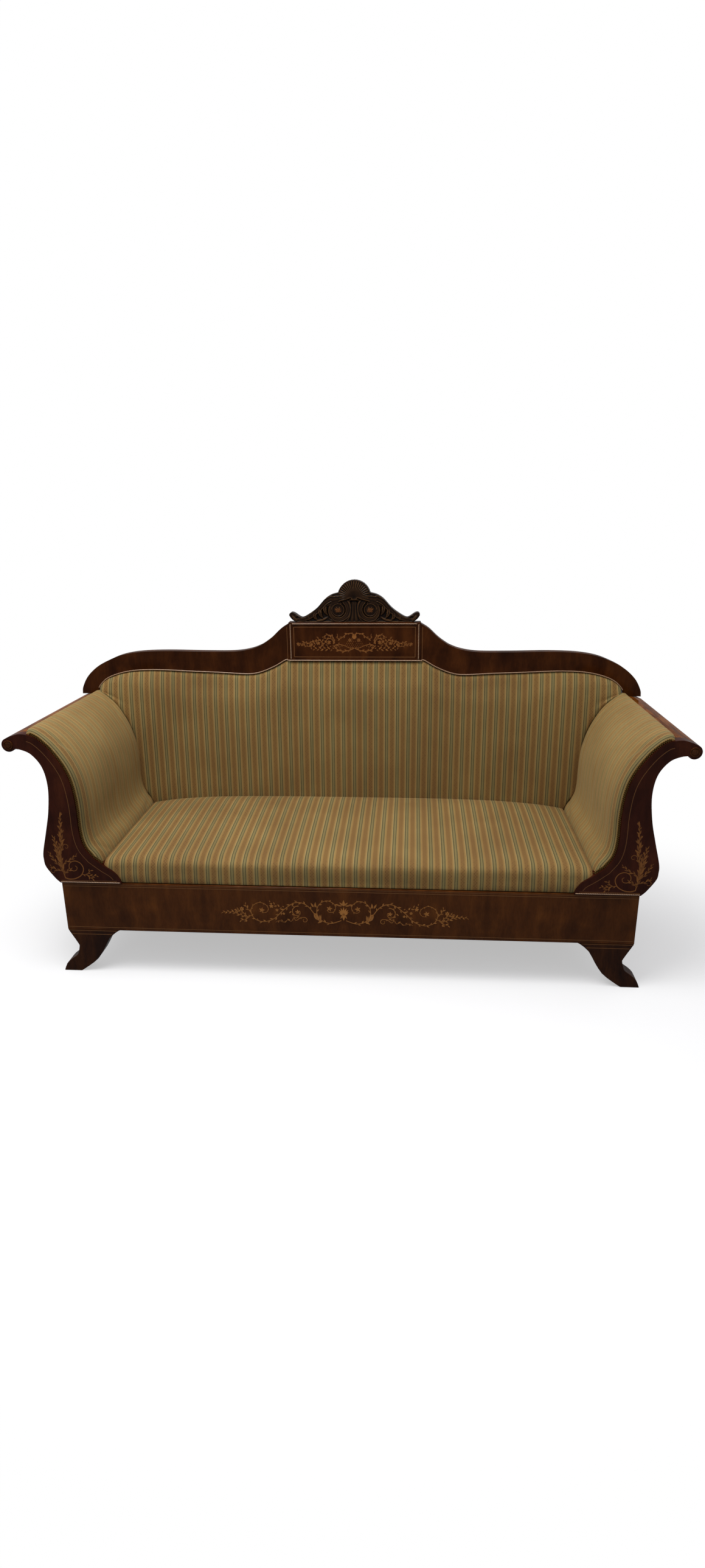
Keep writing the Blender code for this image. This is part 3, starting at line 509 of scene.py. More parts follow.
def clothMaterial(name, worn):
    # a firm woven furnishing cloth: gold and grey-green warp stripes, a red-brown chain in every repeat,
    # slight sheen; on the arms, but for the band beside the braid, it is painted paler: painted light and
    # sheen on the arms, with some fading
    material, add = newMaterial(name, Roughness=0.85, Sheen_Weight=0.2, Sheen_Roughness=0.4,
                                Sheen_Tint=linear("#E0C48E"))
    acrossMap, down = add("SeparateXYZ", (add("UVMap", uv_map="weave"),)).node.outputs[:2]
    place = add("TexCoord", out="Object")
    shiver = add("TexNoise", {"Vector": place, "Scale": 420.0, "Detail": 1.0})
    across = add("Math", (shiver, 0.0012, acrossMap), operation="MULTIPLY_ADD")
    half = clothPattern["repeat"] / 2
    ends = (half + 0.0006, -half + 0.0006)
    stripe = add("Math", (across, *ends), operation="WRAP")
    share = add("MapRange", (stripe, -half, half))
    ground = add("ValToRGB", (share,), (
        (0.0, "#8C6932"), (0.15, "#6C4B1F"), (0.165, "#93733C"), (0.25, "#997A42"), (0.29, "#A98F5A"),
        (0.325, "#7F7142"), (0.375, "#3E3212"), (0.42, "#7E7244"), (0.58, "#3E3212"), (0.625, "#7F7142"),
        (0.675, "#997A42"), (0.75, "#93733C"), (0.835, "#6C4B1F"), (0.85, "#8C6932")))
    ground.node.color_ramp.interpolation = "CONSTANT"
    beside = add("Math", (add("Math", (across, half)), *ends), operation="WRAP")
    bow = add("Math", (down, math.pi / clothPattern["chain"]), operation="MULTIPLY")
    bow = add("Math", (add("Math", (bow,), operation="SINE"), clothPattern["bow"]), operation="MULTIPLY")
    marks = []
    for way, width in (("SUBTRACT", clothPattern["bold"]), ("ADD", clothPattern["line"])):
        off = add("Math", (add("Math", (beside, bow), operation=way),), operation="ABSOLUTE")
        marks.append(add("Math", (off, width), operation="LESS_THAN"))
    loop = add("Math", (down, clothPattern["chain"], 0.0), operation="WRAP")
    loop = add("Math", (loop, clothPattern["chain"] / 2), operation="SUBTRACT")
    off = add("VectorMath", (add("CombineXYZ", (beside, loop)),), out="Value", operation="LENGTH")
    marks.append(add("Math", (off, clothPattern["dot"]), operation="LESS_THAN"))
    chain = marks[0]
    for mark in marks[1:]:
        chain = add("Math", (chain, mark), operation="MAXIMUM")
    # behind the band beside the braid the arms' cloth is painted paler: painted light and sheen, with some
    # fading
    fadeAndPaintedLightMask = add("MapRange", (acrossMap, 0.026, 0.055, 0.0, worn), interpolation_type="SMOOTHSTEP")
    fade = add("TexNoise", {"Vector": place, "Scale": 5.0, "Detail": 3.0})
    fade = add("ValToRGB", (fade,), ((0.3, "#D9CEB8"), (0.7, "#FFFFFF")))
    colour = ground
    for share, layer, blend in ((chain, "#69491B", "MIX"), (fadeAndPaintedLightMask, "#A88B50", "MIX"),
                                (0.8, fade, "MULTIPLY")):
        colour = add("Mix", {0: share, 6: colour, 7: layer}, out=2, data_type="RGBA", blend_type=blend)
    waves = [add("Math", (add("Math", (way, 2 * math.pi / clothPattern["thread"]),
                              operation="MULTIPLY"),), operation="SINE") for way in (across, down)]
    crossing = add("Math", waves, operation="MULTIPLY")
    shading = add("MapRange", (crossing, -1.0, 1.0, 0.82, 1.06))
    return wired(material, Base_Color=add("VectorMath", {0: colour, "Scale": shading}, operation="SCALE"),
                 Normal=add("Bump", {"Strength": 0.35, "Distance": 0.0004, "Height": crossing}))


def threadMaterial(name, dark, light, thread):
    # plain woven cloth on Object coordinates: thread over thread
    material, add = newMaterial(name, Roughness=0.9, Sheen_Weight=0.1)
    place = add("TexCoord", out="Object")
    waves = [add("Math", (add("Math", (way, math.pi / thread), operation="MULTIPLY"),), operation="SINE")
             for way in add("SeparateXYZ", (place,)).node.outputs]
    total = add("Math", (add("Math", waves[:2], operation="ADD"), waves[2]), operation="ADD")
    slub = add("TexNoise", {"Vector": place, "Scale": 90.0, "Detail": 4.0})
    value = add("Math", (total, 0.09, slub), operation="MULTIPLY_ADD")
    return wired(material, Base_Color=add("ValToRGB", (value,), ((0.1, dark), (0.9, light))),
                 Normal=add("Bump", {"Strength": 0.4, "Distance": 0.0005, "Height": value}))


def steelMaterial():
    # spring wire, dull grey with brown patches of old rust
    material, add = newMaterial("aged_spring_steel")
    patch = add("TexNoise", {"Vector": add("TexCoord", out="Object"), "Scale": 70.0, "Detail": 5.0})
    return wired(material, Base_Color=add("ValToRGB", (patch,), ((0.42, "#6B655E"), (0.6, "#5A3A22"))),
                 Metallic=add("MapRange", (patch, 0.42, 0.6, 0.9, 0.2)),
                 Roughness=add("MapRange", (patch, 0.42, 0.6, 0.45, 0.8)))


print("finishes")
rope = {
    "radius": 0.0026,            # of the long bead, and of the thin ones
    "thin": 0.0021,
    "pitch": 0.011,              # length of one whole twist
    "groove": 0.34,
    "step": 0.0016,
}
finish = {name: woodMaterial(name) for name in woods}
finish["carved"] = carvedMaterial()
finish["marquetry"] = inlayMaterial("satinwood_marquetry", "#44230F", "#8C5A2C")
finish["apron_marquetry"] = inlayMaterial("bright_satinwood_marquetry", "#5A3216", "#AE753B")
finish["stringing"] = inlayMaterial("boxwood_stringing", "#43260F", "#79512E")
finish["rope"] = ropeMaterial()
finish["cloth"] = clothMaterial("striped_chain_cloth", 0.0)
# the arms' cloth, painted paler as painted light and sheen with some fading
finish["faded_painted_light_cloth"] = clothMaterial("faded_painted_light_chain_cloth", 0.34)
finish["linen"] = threadMaterial("coarse_linen", "#8A7654", "#AD9B78", 0.0011)
finish["jute"] = threadMaterial("jute_webbing", "#7C5A30", "#A07A48", 0.0022)
finish["braid"] = inlayMaterial("woven_silk_braid", "#26170A", "#93733F", 0.0)
finish["steel"] = steelMaterial()


# Woodwork: boards sawn to a smooth outline, with softened edges

boards = {
    "steps": 10,                 # points drawn between two places of an outline
    "scrollSteps": 36,
    "edge": 0.0014,              # how far an arris is rounded
    "railEdge": 0.0012,
    "angle": 50,                 # sharper turns than this, in degrees, are rounded
    "facet": 0.0095,             # width of the facet with a painted highlight along an arm rail's inner edge
    "facetProud": 0.0003,
    "facetShort": (0.0005, 0.002),
}


def board(name, outline, front, rear, edge, finishName, replaced):
    piece = plateOf(name, outline, front, rear)
    modified(piece, "BEVEL", width=edge, segments=3, limit_method="ANGLE", harden_normals=True,
             angle_limit=math.radians(boards["angle"]))
    dress(piece, finish[finishName], replaced=replaced)


def makeBoards():
    steps = boards["steps"]
    outer, inner = outerEdge(steps)[:-steps], innerEdge(steps)
    scroll = scrollEdge(boards["scrollSteps"])
    facade = np.vstack([outer, scroll, inner, toeEdge(steps)[1:]])
    crest = np.vstack([crestTop(steps), crestLower(steps)[::-1]])
    # the arm rail has the scroll's own outline from the cloth's edge outwards
    edge = sofa["armRailIn"]
    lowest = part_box("left_arm_rail")[0][2]
    loop = np.vstack([outer, scroll, inner])
    upper = outer[outer[:, 1] > 0.7]
    start = max(float(np.interp(edge, upper[:, 0], upper[:, 1])), lowest)
    rail = np.vstack([[(edge, start)], loop[(loop[:, 0] >= edge) & (loop[:, 1] >= lowest)],
                      [(edge, np.interp(-edge, -inner[:, 0], inner[:, 1]))]])
    # a thin plate along the rail's inner edge; its lighter, glossier finish is a painted highlight
    facet = innerEdge(steps * 3)
    facet = facet[(facet[:, 0] > edge + boards["railEdge"]) & (facet[:, 0] < edge + boards["facet"])]
    facet = np.vstack([sideways(facet, boards["facetProud"]), sideways(facet, -boards["facetProud"])[::-1]])
    for side, word in bothSides:
        board(word + "_facade", onSide(facade, side), facadeFront, facadeFront + sofa["facadeThick"],
              boards["edge"], "facade_veneer", word + "_arm_facade")
        board(word + "_serpentine_rail", onSide(crest, side), backFront, sofaFront + sofa["depth"],
              boards["edge"], "back_veneer", word + "_crest_rail")
        low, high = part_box(word + "_arm_rail")
        board(word + "_polished_arm_rail", onSide(rail, side), low[1], high[1], boards["railEdge"],
              "arm_rail_mahogany", word + "_arm_rail")
        shortFront, shortRear = boards["facetShort"]
        dress(plateOf(word + "_rail_facet", onSide(facet, side), low[1] + shortFront,
                      high[1] - shortRear), finish["rail_facet"])


print("boards")
makeBoards()


# Marquetry: ribbons, leaves, discs and curls of light wood, let flush into the veneer

inlay = {
    "deep": 0.00004,             # where an inlay starts, in front of the veneer
    "proud": 0.00018,            # and where its face ends, so that it reads as flush
    "step": 0.00001,             # shapes that cross don't share one plane
    "layers": 15,
    "leafPoints": 11,
}


def unrolled(line, widths):
    # the two edges of a ribbon along a line
    line = np.array(line, float)
    out = leftOf(line) * (np.broadcast_to(widths, len(line)) / 2)[:, None]
    return line + out, line - out


def ribbon(points, width, endWidth=None, tone=0.55):
    line = smoothLine(points, 6) if len(points) > 2 else np.array(points, float)
    return (*unrolled(line, np.linspace(width, width if endWidth is None else endWidth, len(line))), tone)


def leaf(x, z, angle, length, width, tone=0.6, bend=0.0):
    # a leaf from its foot at (x, z), pointing at an angle in degrees
    share = np.linspace(0, 1, inlay["leafPoints"])
    way = math.radians(angle) + bend * share
    step = length / (inlay["leafPoints"] - 1)
    run = np.stack([np.cumsum(np.cos(way)) * step, np.cumsum(np.sin(way)) * step], 1)
    widths = width * np.sin(math.pi * np.clip(share, 0.02, 0.98) ** 0.75)
    return (*unrolled(np.array((x, z)) + run - run[0], widths), tone)


def leaves(*rows):
    return [leaf(*row) for row in rows]


def disc(x, z, radius, tone=0.6):
    share = np.linspace(-0.99, 0.99, inlay["leafPoints"])
    line = np.stack([x + radius * share, np.full(len(share), z)], 1)
    return (*unrolled(line, 2 * radius * np.sqrt(1 - share ** 2)), tone)


def curl(x, z, start, stop, fromRadius, toRadius, width, endWidth, tone=0.55):
    # a spiral ribbon about a centre, angles in degrees
    share = np.linspace(0, 1, max(int(abs(stop - start) / 12), 6))
    line = arc(x, z, mix(fromRadius, toRadius, share), mix(start, stop, share))
    return (*unrolled(line, mix(width, endWidth, share)), tone)


def bloom(x, z, size, width, tone=0.6, turned=0, darker=0.0, bend=0.5):
    # five petals
    return [leaf(x, z, turned + 72 * turn, size, width, tone - darker * (turn % 2), bend)
            for turn in range(5)]


def flower(x, z, size, petals, tone=0.7):
    return [leaf(x, z, 90 + 360 * petal / petals, size, size * 0.62, tone - 0.12 * (petal % 2))
            for petal in range(petals)] + [disc(x, z, size * 0.24, 0.1)]


def leavesAlong(points, spacing, length, width, tone, start=0.0, lean=48):
    # leaves in turn on both sides of a stem
    line = evenly(smoothLine(points, 8), spacing)
    ahead = np.degrees(np.arctan2(*np.gradient(line, axis=0).T[::-1]))
    shapes = []
    for place in range(1, len(line)):
        side = 1 if place % 2 else -1
        grown = math.sin(math.pi * min(place / len(line) + start, 1.0)) * 0.5 + 0.5
        shapes.append(leaf(*line[place], ahead[place] + side * lean, length * grown, width * grown,
                           tone - 0.15 * (place % 3), -0.3 * side))
    return shapes


def sprig(points, width, endWidth, tone, *leafing):
    # a stem with its leaves
    return [ribbon(points, width, endWidth, tone)] + leavesAlong(points, *leafing)


def scrolled(points, eye):
    # a scroll stem with leaves along its outer side, and a small leafy bloom in its eye
    stem, leafLong = 0.0028, 0.012
    return ([ribbon(points, stem, stem * 0.55, 0.5)]
            + leavesAlong(points[1:-2], 0.013, leafLong, leafLong * 0.42, 0.62, 0.2, 50)
            + bloom(*eye, 0.010, 0.0048, 0.62, 20, 0.12))


def inlaid(name, shapes, faceY, finishName):
    # every shape becomes a thin plate, closed all round, and its mirror image beyond the middle
    shape = bmesh.new()
    shades = []
    for number, (left, right, tone) in enumerate(shapes):
        layer = number % inlay["layers"] * inlay["step"]
        onAxis = abs(left[:, 0].mean() + right[:, 0].mean()) < 0.0004
        for side in (1,) if onAxis else (1, -1):
            layer += inlay["step"] / 2 * (side < 0)
            count = strip(shape, left, right, side, faceY - inlay["proud"] - layer, faceY - inlay["deep"])
            shades += [tone] * count
    piece = fromShape(name, shape)
    tones(piece, shades)
    dress(piece, finish[finishName])


def apronShapes():
    # golden palmette in the middle
    shapes = [leaf(0, 0.238, angle, size / 1000, 0.0062, 1.0 - abs(90 - angle) / 500)
              for angle, size in ((90, 27), (68, 25), (47, 22), (27, 18), (8, 13))]
    shapes += leaves((0, 0.238, -90, 0.022, 0.008, 0.8), (0.003, 0.236, -62, 0.016, 0.005, 0.6))
    shapes += [disc(0, 0.238, 0.004, 0.3)]
    shapes += leaves((0, 0.268, 90, 0.022, 0.008, 0.7), (0.002, 0.270, 44, 0.016, 0.0055, 0.6),
                     (0.006, 0.268, 12, 0.018, 0.005, 0.5))
    # first scroll
    shapes += scrolled(mm(8, 216, 22, 210, 40, 205, 60, 208, 80, 222, 88, 248, 78, 274, 54, 286, 31, 275,
                          26, 258, 34, 246, 47, 245, 54, 253), (0.046, 0.258))
    shapes += leaves((0.030, 0.270, 150, 0.014, 0.005, 0.6, 0.5), (0.070, 0.213, -28, 0.018, 0.006, 0.6),
                     (0.080, 0.214, 58, 0.030, 0.0075, 0.7, 0.5),
                     (0.084, 0.216, 38, 0.026, 0.0065, 0.6, 0.6),
                     (0.076, 0.214, 84, 0.022, 0.006, 0.55, 0.4), (0.093, 0.262, 95, 0.018, 0.006, 0.6),
                     (0.098, 0.262, 60, 0.018, 0.006, 0.55))
    # the stem from the first scroll to the second, its wavy tendrils and side curls
    shapes += scrolled(mm(84, 218, 100, 244, 118, 266, 140, 277, 162, 275, 184, 260, 204, 242, 222, 222,
                          244, 209, 270, 205, 294, 216, 304, 240, 297, 262, 277, 274, 256, 268, 246, 252,
                          254, 239, 268, 237), (0.268, 0.247))
    shapes += [curl(0.150, 0.243, 100, -230, 0.022, 0.006, 0.0028, 0.0014, 0.5)]
    shapes += bloom(0.150, 0.243, 0.009, 0.0044)
    shapes += leavesAlong([(0.150 + 0.021 * math.cos(turn), 0.243 + 0.021 * math.sin(turn))
                           for turn in (1.6, 0.9, 0.2, -0.5, -1.2, -1.9)], 0.010, 0.011, 0.0045, 0.6)
    shapes += [curl(0.128, 0.214, 80, 420, 0.010, 0.004, 0.0024, 0.0012, 0.45),
               ribbon(mm(129, 224, 142, 222, 156, 212, 164, 220, 172, 209, 184, 213, 196, 205, 212, 210,
                         224, 204), 0.0022, 0.0012, 0.45)]
    shapes += leavesAlong(mm(142, 222, 164, 218, 184, 211, 212, 208), 0.012, 0.010, 0.004, 0.55)
    shapes += leavesAlong(mm(186, 262, 204, 258, 222, 266, 240, 276), 0.008, 0.011, 0.0048, 0.6)
    shapes += flower(0.236, 0.262, 0.0075, 5) + flower(0.218, 0.248, 0.006, 5)
    shapes += flower(0.196, 0.236, 0.005, 5)
    # the spray at the far end
    for points in (mm(302, 236, 314, 250, 322, 266), mm(300, 226, 322, 222, 340, 228, 366, 238, 398, 236),
                   mm(318, 224, 334, 240, 352, 248), mm(310, 222, 322, 212, 338, 208)):
        shapes += sprig(points, 0.0022, 0.0010, 0.5, 0.0075, 0.012, 0.0046, 0.62)
    return (shapes + flower(0.334, 0.250, 0.008, 6) + flower(0.352, 0.240, 0.006, 5)
            + [disc(0.322, 0.207, 0.004, 0.6)])


def tabletShapes():
    shapes = leaves((0, 1.040, 116, 0.020, 0.011, 0.85, -0.6), (0, 1.040, 64, 0.020, 0.011, 0.85, 0.6))
    shapes += sprig(mm(0, 1050, 6, 1058, 14, 1061, 30, 1057, 42, 1047, 54, 1041, 64, 1046, 60, 1053),
                    0.0034, 0.0014, 0.6, 0.010, 0.011, 0.005, 0.6)
    # dotted lattice with a small bloom on either side of the middle
    for row in range(6):
        for column in range(5):
            x = 0.0035 * (row % 2) + 0.007 * column
            if 0 < x < 0.036 - 0.0025 * row or column + row == 0:
                shapes.append(disc(x, 1.012 + 0.0062 * row, 0.0013, 0.55))
    shapes += flower(0.016, 1.036, 0.007, 6, 0.6)
    lens = mm(1, 1007, 20, 999, 42, 996, 64, 1003, 72, 1015, 58, 1021, 36, 1016, 18, 1008, 3, 1009)
    shapes += [ribbon(lens, 0.0034, 0.002, 0.6)] + leavesAlong(lens[:6], 0.010, 0.012, 0.0055, 0.6)
    shapes += leavesAlong(mm(38, 1010, 50, 1014, 62, 1012), 0.006, 0.009, 0.004, 0.5)
    # leafy S-scroll, C-scroll and circle
    for x, z, start, stop, radius in ((0.092, 1.029, 205, -140, 0.017), (0.131, 1.025, 250, -70, 0.016),
                                      (0.156, 1.021, 170, -160, 0.011)):
        shapes.append(curl(x, z, start, stop, radius, radius * 0.3, 0.0034, 0.0016, 0.6))
        shapes += leavesAlong(arc(x, z, radius, np.linspace(start, stop, 9)[:8]), 0.0085, 0.0115, 0.0052,
                              0.65)
        shapes += bloom(x, z, radius * 0.5, 0.004)
    shapes += sprig(mm(72, 1024, 76, 1044, 88, 1054, 104, 1054, 112, 1047), 0.0032, 0.0014, 0.6,
                    0.009, 0.010, 0.0045, 0.6)
    shapes += leavesAlong(mm(66, 1008, 82, 1003, 100, 1004, 120, 1005, 146, 1004), 0.008, 0.013, 0.006,
                          0.65)
    for points in (mm(164, 1012, 178, 1015, 192, 1020, 206, 1019), mm(168, 1024, 180, 1028, 188, 1026)):
        shapes += sprig(points, 0.0022, 0.0011, 0.5, 0.006, 0.010, 0.0045, 0.6)
    return shapes + flower(0.206, 1.022, 0.007, 5, 0.6)


def facadeShapes():
    # the fern: overlapping runs of narrow leaves that point up the stem, thickest in the middle
    fern = mm(914, 350, 918, 375, 922, 400, 925, 425, 929, 452, 935, 488)
    shapes = [ribbon(fern, 0.0034, 0.0012, 0.55)]
    for line, spacing, length, lean in ((fern, 0.0085, 0.026, 26), (fern[1:], 0.0100, 0.019, 52)):
        shapes += leavesAlong(line, spacing, length, 0.0062, 0.7, 0.1, lean)
    stem = mm(922, 430, 914, 460, 911, 490, 909, 520, 907, 545, 903, 568)
    shapes += [ribbon(stem, 0.0028, 0.0012, 0.55)]
    for spacing, length, lean in ((0.011, 0.022, 24), (0.016, 0.017, 54)):
        shapes += leavesAlong(stem, spacing, length, 0.0062, 0.65, 0.15, lean)
    shapes += [leaf(0.904, 0.562, 96, 0.018, 0.005, 0.7)]
    for branch in (mm(922, 385, 936, 400, 946, 415, 956, 436), mm(918, 372, 938, 376, 956, 388),
                   mm(920, 392, 906, 404, 890, 412, 868, 430), mm(919, 362, 904, 372, 892, 378)):
        shapes += sprig(branch, 0.0024, 0.0010, 0.5, 0.008, 0.015, 0.0045, 0.62, 0.1, 32)
    shapes += [curl(0.951, 0.372, 120, -160, 0.011, 0.004, 0.0024, 0.0012, 0.5),
               curl(0.898, 0.458, -20, 320, 0.012, 0.003, 0.0024, 0.0012, 0.5)]
    # the big spiral, a clean line
    shapes += [ribbon(mm(915, 349, 900, 344, 878, 347, 858, 360, 849, 382, 858, 402, 877, 409, 893, 400,
                         896, 384, 886, 374, 874, 376, 870, 386, 876, 392), 0.0036, 0.0018, 0.6)]
    for twig in (mm(858, 362, 842, 360, 826, 357, 808, 358), mm(840, 360, 832, 370, 826, 376),
                 mm(838, 358, 830, 350, 822, 347)):
        shapes += sprig(twig, 0.0024, 0.0011, 0.55, 0.0075, 0.012, 0.0045, 0.65)
    return shapes


def stringing(name, faceY, *rows):
    # light lines, each given as two (x, z) ends, a width and a tone
    inlaid(name, [(*unrolled(evenly(ends, 0.02), width), tone) for ends, width, tone in rows], faceY,
           "stringing")


def makeInlays():
    inlaid("apron_marquetry", apronShapes(), sofaFront, "apron_marquetry")
    inlaid("tablet_marquetry", tabletShapes(), tabletFront, "marquetry")
    inlaid("facade_marquetry", facadeShapes(), facadeFront, "marquetry")
    end = sofa["frameEnd"]
    stringing("apron_stringing", sofaFront, *[([(0, z), (end - 0.006, z)], width, 0.6)
                                              for z, width in ((0.318, 0.0022), (0.325, 0.0016),
                                                               (0.168, 0.002))])
    stringing("foot_stringing", sofaFront, *[([(end - inner, z), (end - outer, z)], 0.002, 0.6)
                                             for z, inner, outer in ((0.1545, 0.166, 0.004),
                                                                     (0.141, 0.149, 0.012))])
    kept = evenly(sideways(np.vstack([innerEdge(8), toeEdge(8)[1:]]), 0.021), 0.004)
    kept = kept[(kept[:, 0] < 0.985) & (kept[:, 1] > 0.342)]
    inlaid("facade_stringing", [(*unrolled(kept, 0.0018), 0.6),
                                (*unrolled(evenly(mm(742, 339, 928, 339), 0.02), 0.0018), 0.6)],
           facadeFront, "stringing")
    box = mm(0, 1083, 221, 1083, 221, 975, 0, 975)
    stringing("tablet_stringing", tabletFront, *[(ends, 0.002, 0.6) for ends in zip(box, box[1:])])
    stringing("serpentine_stringing", backFront, (mm(246.5, 966, 246.5, 1083), 0.0018, 0.5))


print("marquetry")
makeInlays()


# Upholstery: pads as closed slabs with a cloth map in metres, swelled by a cloth simulation

padding = {
    "cell": 0.011,               # spacing of the points of the cloth
    "pressure": 4.0,
    "frames": 20,
    "stiffness": 15,
    "wrap": 0.02,                # how much cloth goes round the edge of a pad
    "room": (-0.05, 0.0323),     # the depths between which a facade stands in the pads' way
    "seatLow": 0.3326,
    "seatEdge": 0.412,
    "seatRise": 0.008,
    "seatCrown": 0.030,
    "seatRound": 0.030,
    "seatRear": 0.5547,
    "seatSwell": 0.006,          # the furthest that a point of the seat moves outwards
    "cornerDrop": 0.0041,        # how far the seat's front corners are rounded down
    "armProud": 0.020,
    "armThickness": 0.034,
    "armStart": 0.005,
    "armEnd": 0.600,
    "armTurn": 0.082,            # how far above the seat rails the cloth turns straight down
    "armFoot": 0.395,
    "armRound": 0.060,           # depth over which the arm's front edge is rounded
    "armSwell": 0.003,
    "armCell": 0.0078,
    "armSkew": 1.15,             # the cloth's points lie closer towards the front
    "pullAt": 0.12,              # share of the arm's line where its cloth is creased most
    "pullWide": 0.30,
    "pullDeep": 0.0013,
    "pullEvery": 0.0040,
    "foldDeep": 0.0011,
    "backProud": 0.045,
    "backRear": 0.620,
    "backEnd": 0.077,            # share of the serpentine rail beyond the back's cloth,
    "backClear": 0.012,          # and how much further in the cloth ends
    "backFoot": 0.399,
    "backAlongArm": 0.55,        # rough lengths of cloth along an arm and up the back
    "backUp": 0.56,
    "tuck": 0.0015,              # how far the back's cloth is pressed up behind the bead
    "backMiddle": 0.72,          # share of the back's half that lies between the arms
    "backSwell": 0.005,
}


def slab(name, columns, rows, face, rear, weave, wrapped=False):
    # a closed slab between two surfaces of two shares, with the cloth's own map in metres
    shape = bmesh.new()
    layer = shape.loops.layers.uv.new("weave")
    crease = shape.edges.layers.float.new("crease_edge")     # the rear's outline stays where it is
    front, back = [[[shape.verts.new(surface(c / columns, r / rows)) for c in range(columns + 1)]
                    for r in range(rows + 1)] for surface in (face, rear)]
    maps = [[weave(c / columns, r / rows) for c in range(columns + 1)] for r in range(rows + 1)]

    def close(corners, places, turned=False):
        for loop, (row, column, out) in zip(shape.faces.new(corners).loops, places):
            across, down = maps[row][column]
            loop[layer].uv = (across - out, down) if turned else (across, down + out)

    for row in range(rows):
        for column in range(columns):
            spots = ((row, column), (row, column + 1), (row + 1, column + 1), (row + 1, column))
            for grid, order in ((front, spots), (back, spots[::-1])):
                close([grid[r][c] for r, c in order], [(r, c, 0) for r, c in order])
    border = [(0, c) for c in range(columns)] + [(r, columns) for r in range(rows)]
    border += [(rows, c) for c in range(columns, 0, -1)] + [(r, 0) for r in range(rows, 0, -1)]
    for (r, c), (nextR, nextC) in zip(border, border[1:] + border[:1]):
        corners = [front[nextR][nextC], front[r][c], back[r][c], back[nextR][nextC]]
        close(corners, [(nextR, nextC, 0), (r, c, 0), (r, c, padding["wrap"]),
                        (nextR, nextC, padding["wrap"])], turned=wrapped and r == nextR == 0)
        shape.edges.get(corners[2:])[crease] = 1.0
    piece = fromShape(name, shape)
    count = (columns + 1) * (rows + 1)
    held = piece.vertex_groups.new(name="held")
    held.add(list(range(count, 2 * count)) + [r * (columns + 1) + c for r, c in border], 1.0, "REPLACE")
    return piece


def swell(piece, limit):
    # the stuffing presses the cloth out; how far a point may move is capped
    cloth = piece.modifiers.new("cloth", "CLOTH")
    settings = cloth.settings
    settings.vertex_group_mass = "held"
    settings.use_pressure = True
    settings.uniform_pressure_force = padding["pressure"]
    settings.tension_stiffness = settings.compression_stiffness = padding["stiffness"]
    settings.bending_stiffness = 0.5
    settings.effector_weights.gravity = 0
    cloth.point_cache.frame_end = padding["frames"]
    for frameNumber in range(1, padding["frames"] + 1):
        scene.frame_set(frameNumber)
    swollen = piece.evaluated_get(bpy.context.evaluated_depsgraph_get()).data
    before, after = np.empty((2, len(piece.data.vertices) * 3))
    piece.data.vertices.foreach_get("co", before)
    swollen.vertices.foreach_get("co", after)
    move = (after - before).reshape(-1, 3)
    size = np.maximum(np.linalg.norm(move, axis=1), 1e-9)
    move *= (limit * np.tanh(size / limit) / size)[:, None]
    piece.modifiers.clear()
    piece.data.vertices.foreach_set("co", before + move.ravel())
    piece.data.update()
    scene.frame_set(1)


def rounded(piece):
    modified(piece, "SUBSURF", levels=1, render_levels=1)


def trim(piece, cutter, operation="DIFFERENCE"):
    modified(piece, "BOOLEAN", operation=operation, solver="EXACT", object=cutter)


def facadeRoom(side):
    # the room that a facade takes from the pads
    edges = (outerEdge(4), scrollEdge(16), innerEdge(4), toeEdge(4)[1:])
    grown = np.vstack([sideways(edge, -touching) for edge in edges])
    return plateOf("facade_room", onSide(grown, side), *(sofaFront + deep for deep in padding["room"]))


def makeSeat(rooms):
    low, bend = padding["seatLow"], padding["seatEdge"] - padding["seatLow"]
    route = np.array([(0.13, 0.0), (0.0, 0.3), (0.0, 0.6), (0.13, 0.84), (0.43, 0.95), (1.0, 1.0)])
    route[:, 0] *= padding["seatRound"]
    top = np.array([(0.14, 1.2), (0.36, 1.55), (0.62, 1.85), (0.85, 2.0), (1.0, 1.95)])
    top[:, 0] *= padding["seatRear"]
    route = smoothLine(np.vstack([route, top]) * (1, bend), 8) / (1, bend)
    lengths = along(route * (1, bend))

    def place(share, part):
        x = 2 * share - 1
        depth, height = (np.interp(part * lengths[-1], lengths, route[:, axis]) for axis in range(2))
        return math.copysign(abs(x) ** 0.9, x), depth, height

    def face(share, part):
        x, depth, height = place(share, part)
        lift = max(height - 1.0, 0.0) * (padding["seatRise"] + padding["seatCrown"] * (1 - abs(x) ** 4))
        height = min(height, 1.0)
        drop = padding["cornerDrop"] * height * abs(x) ** 12
        return x * sofa["crease"], sofaFront + depth, mix(low, padding["seatEdge"], height) + lift - drop

    def rear(share, part):
        inner = np.interp(part, (0, 1), (0.006, padding["seatRear"] - 0.002))
        return place(share, part)[0] * sofa["crease"], sofaFront + inner, low

    def weave(share, part):
        return place(share, part)[0] * sofa["crease"], part * lengths[-1]

    seat = slab("striped_seat", int(2 * sofa["crease"] / padding["cell"]),
                int(lengths[-1] / padding["cell"]), face, rear, weave)
    swell(seat, padding["seatSwell"])
    rounded(seat)
    for room in rooms:
        trim(seat, room)
    return seat


def armFace():
    # the cloth's line over the arm, from the arm rail down to the seat
    proud, edge, crease = padding["armProud"], sofa["armRailIn"], sofa["crease"] + touching
    inner = innerEdge(6)
    face = sideways(inner[inner[:, 0] < edge - 0.2 * proud], -proud)
    turn = sofa["railTop"] + padding["armTurn"]
    kept = face[(face[:, 1] > turn + 0.9 * proud) & (face[:, 0] < edge - 0.6 * proud)]
    top = [(edge - touching, sofa["armHeight"] + 0.65 * proud)]
    low = [(crease + 0.2 * proud, turn), (crease, padding["armFoot"]), (crease, sofa["padLow"])]
    return evenly(np.vstack([top, kept, low]), 0.004)


armLine = armFace()


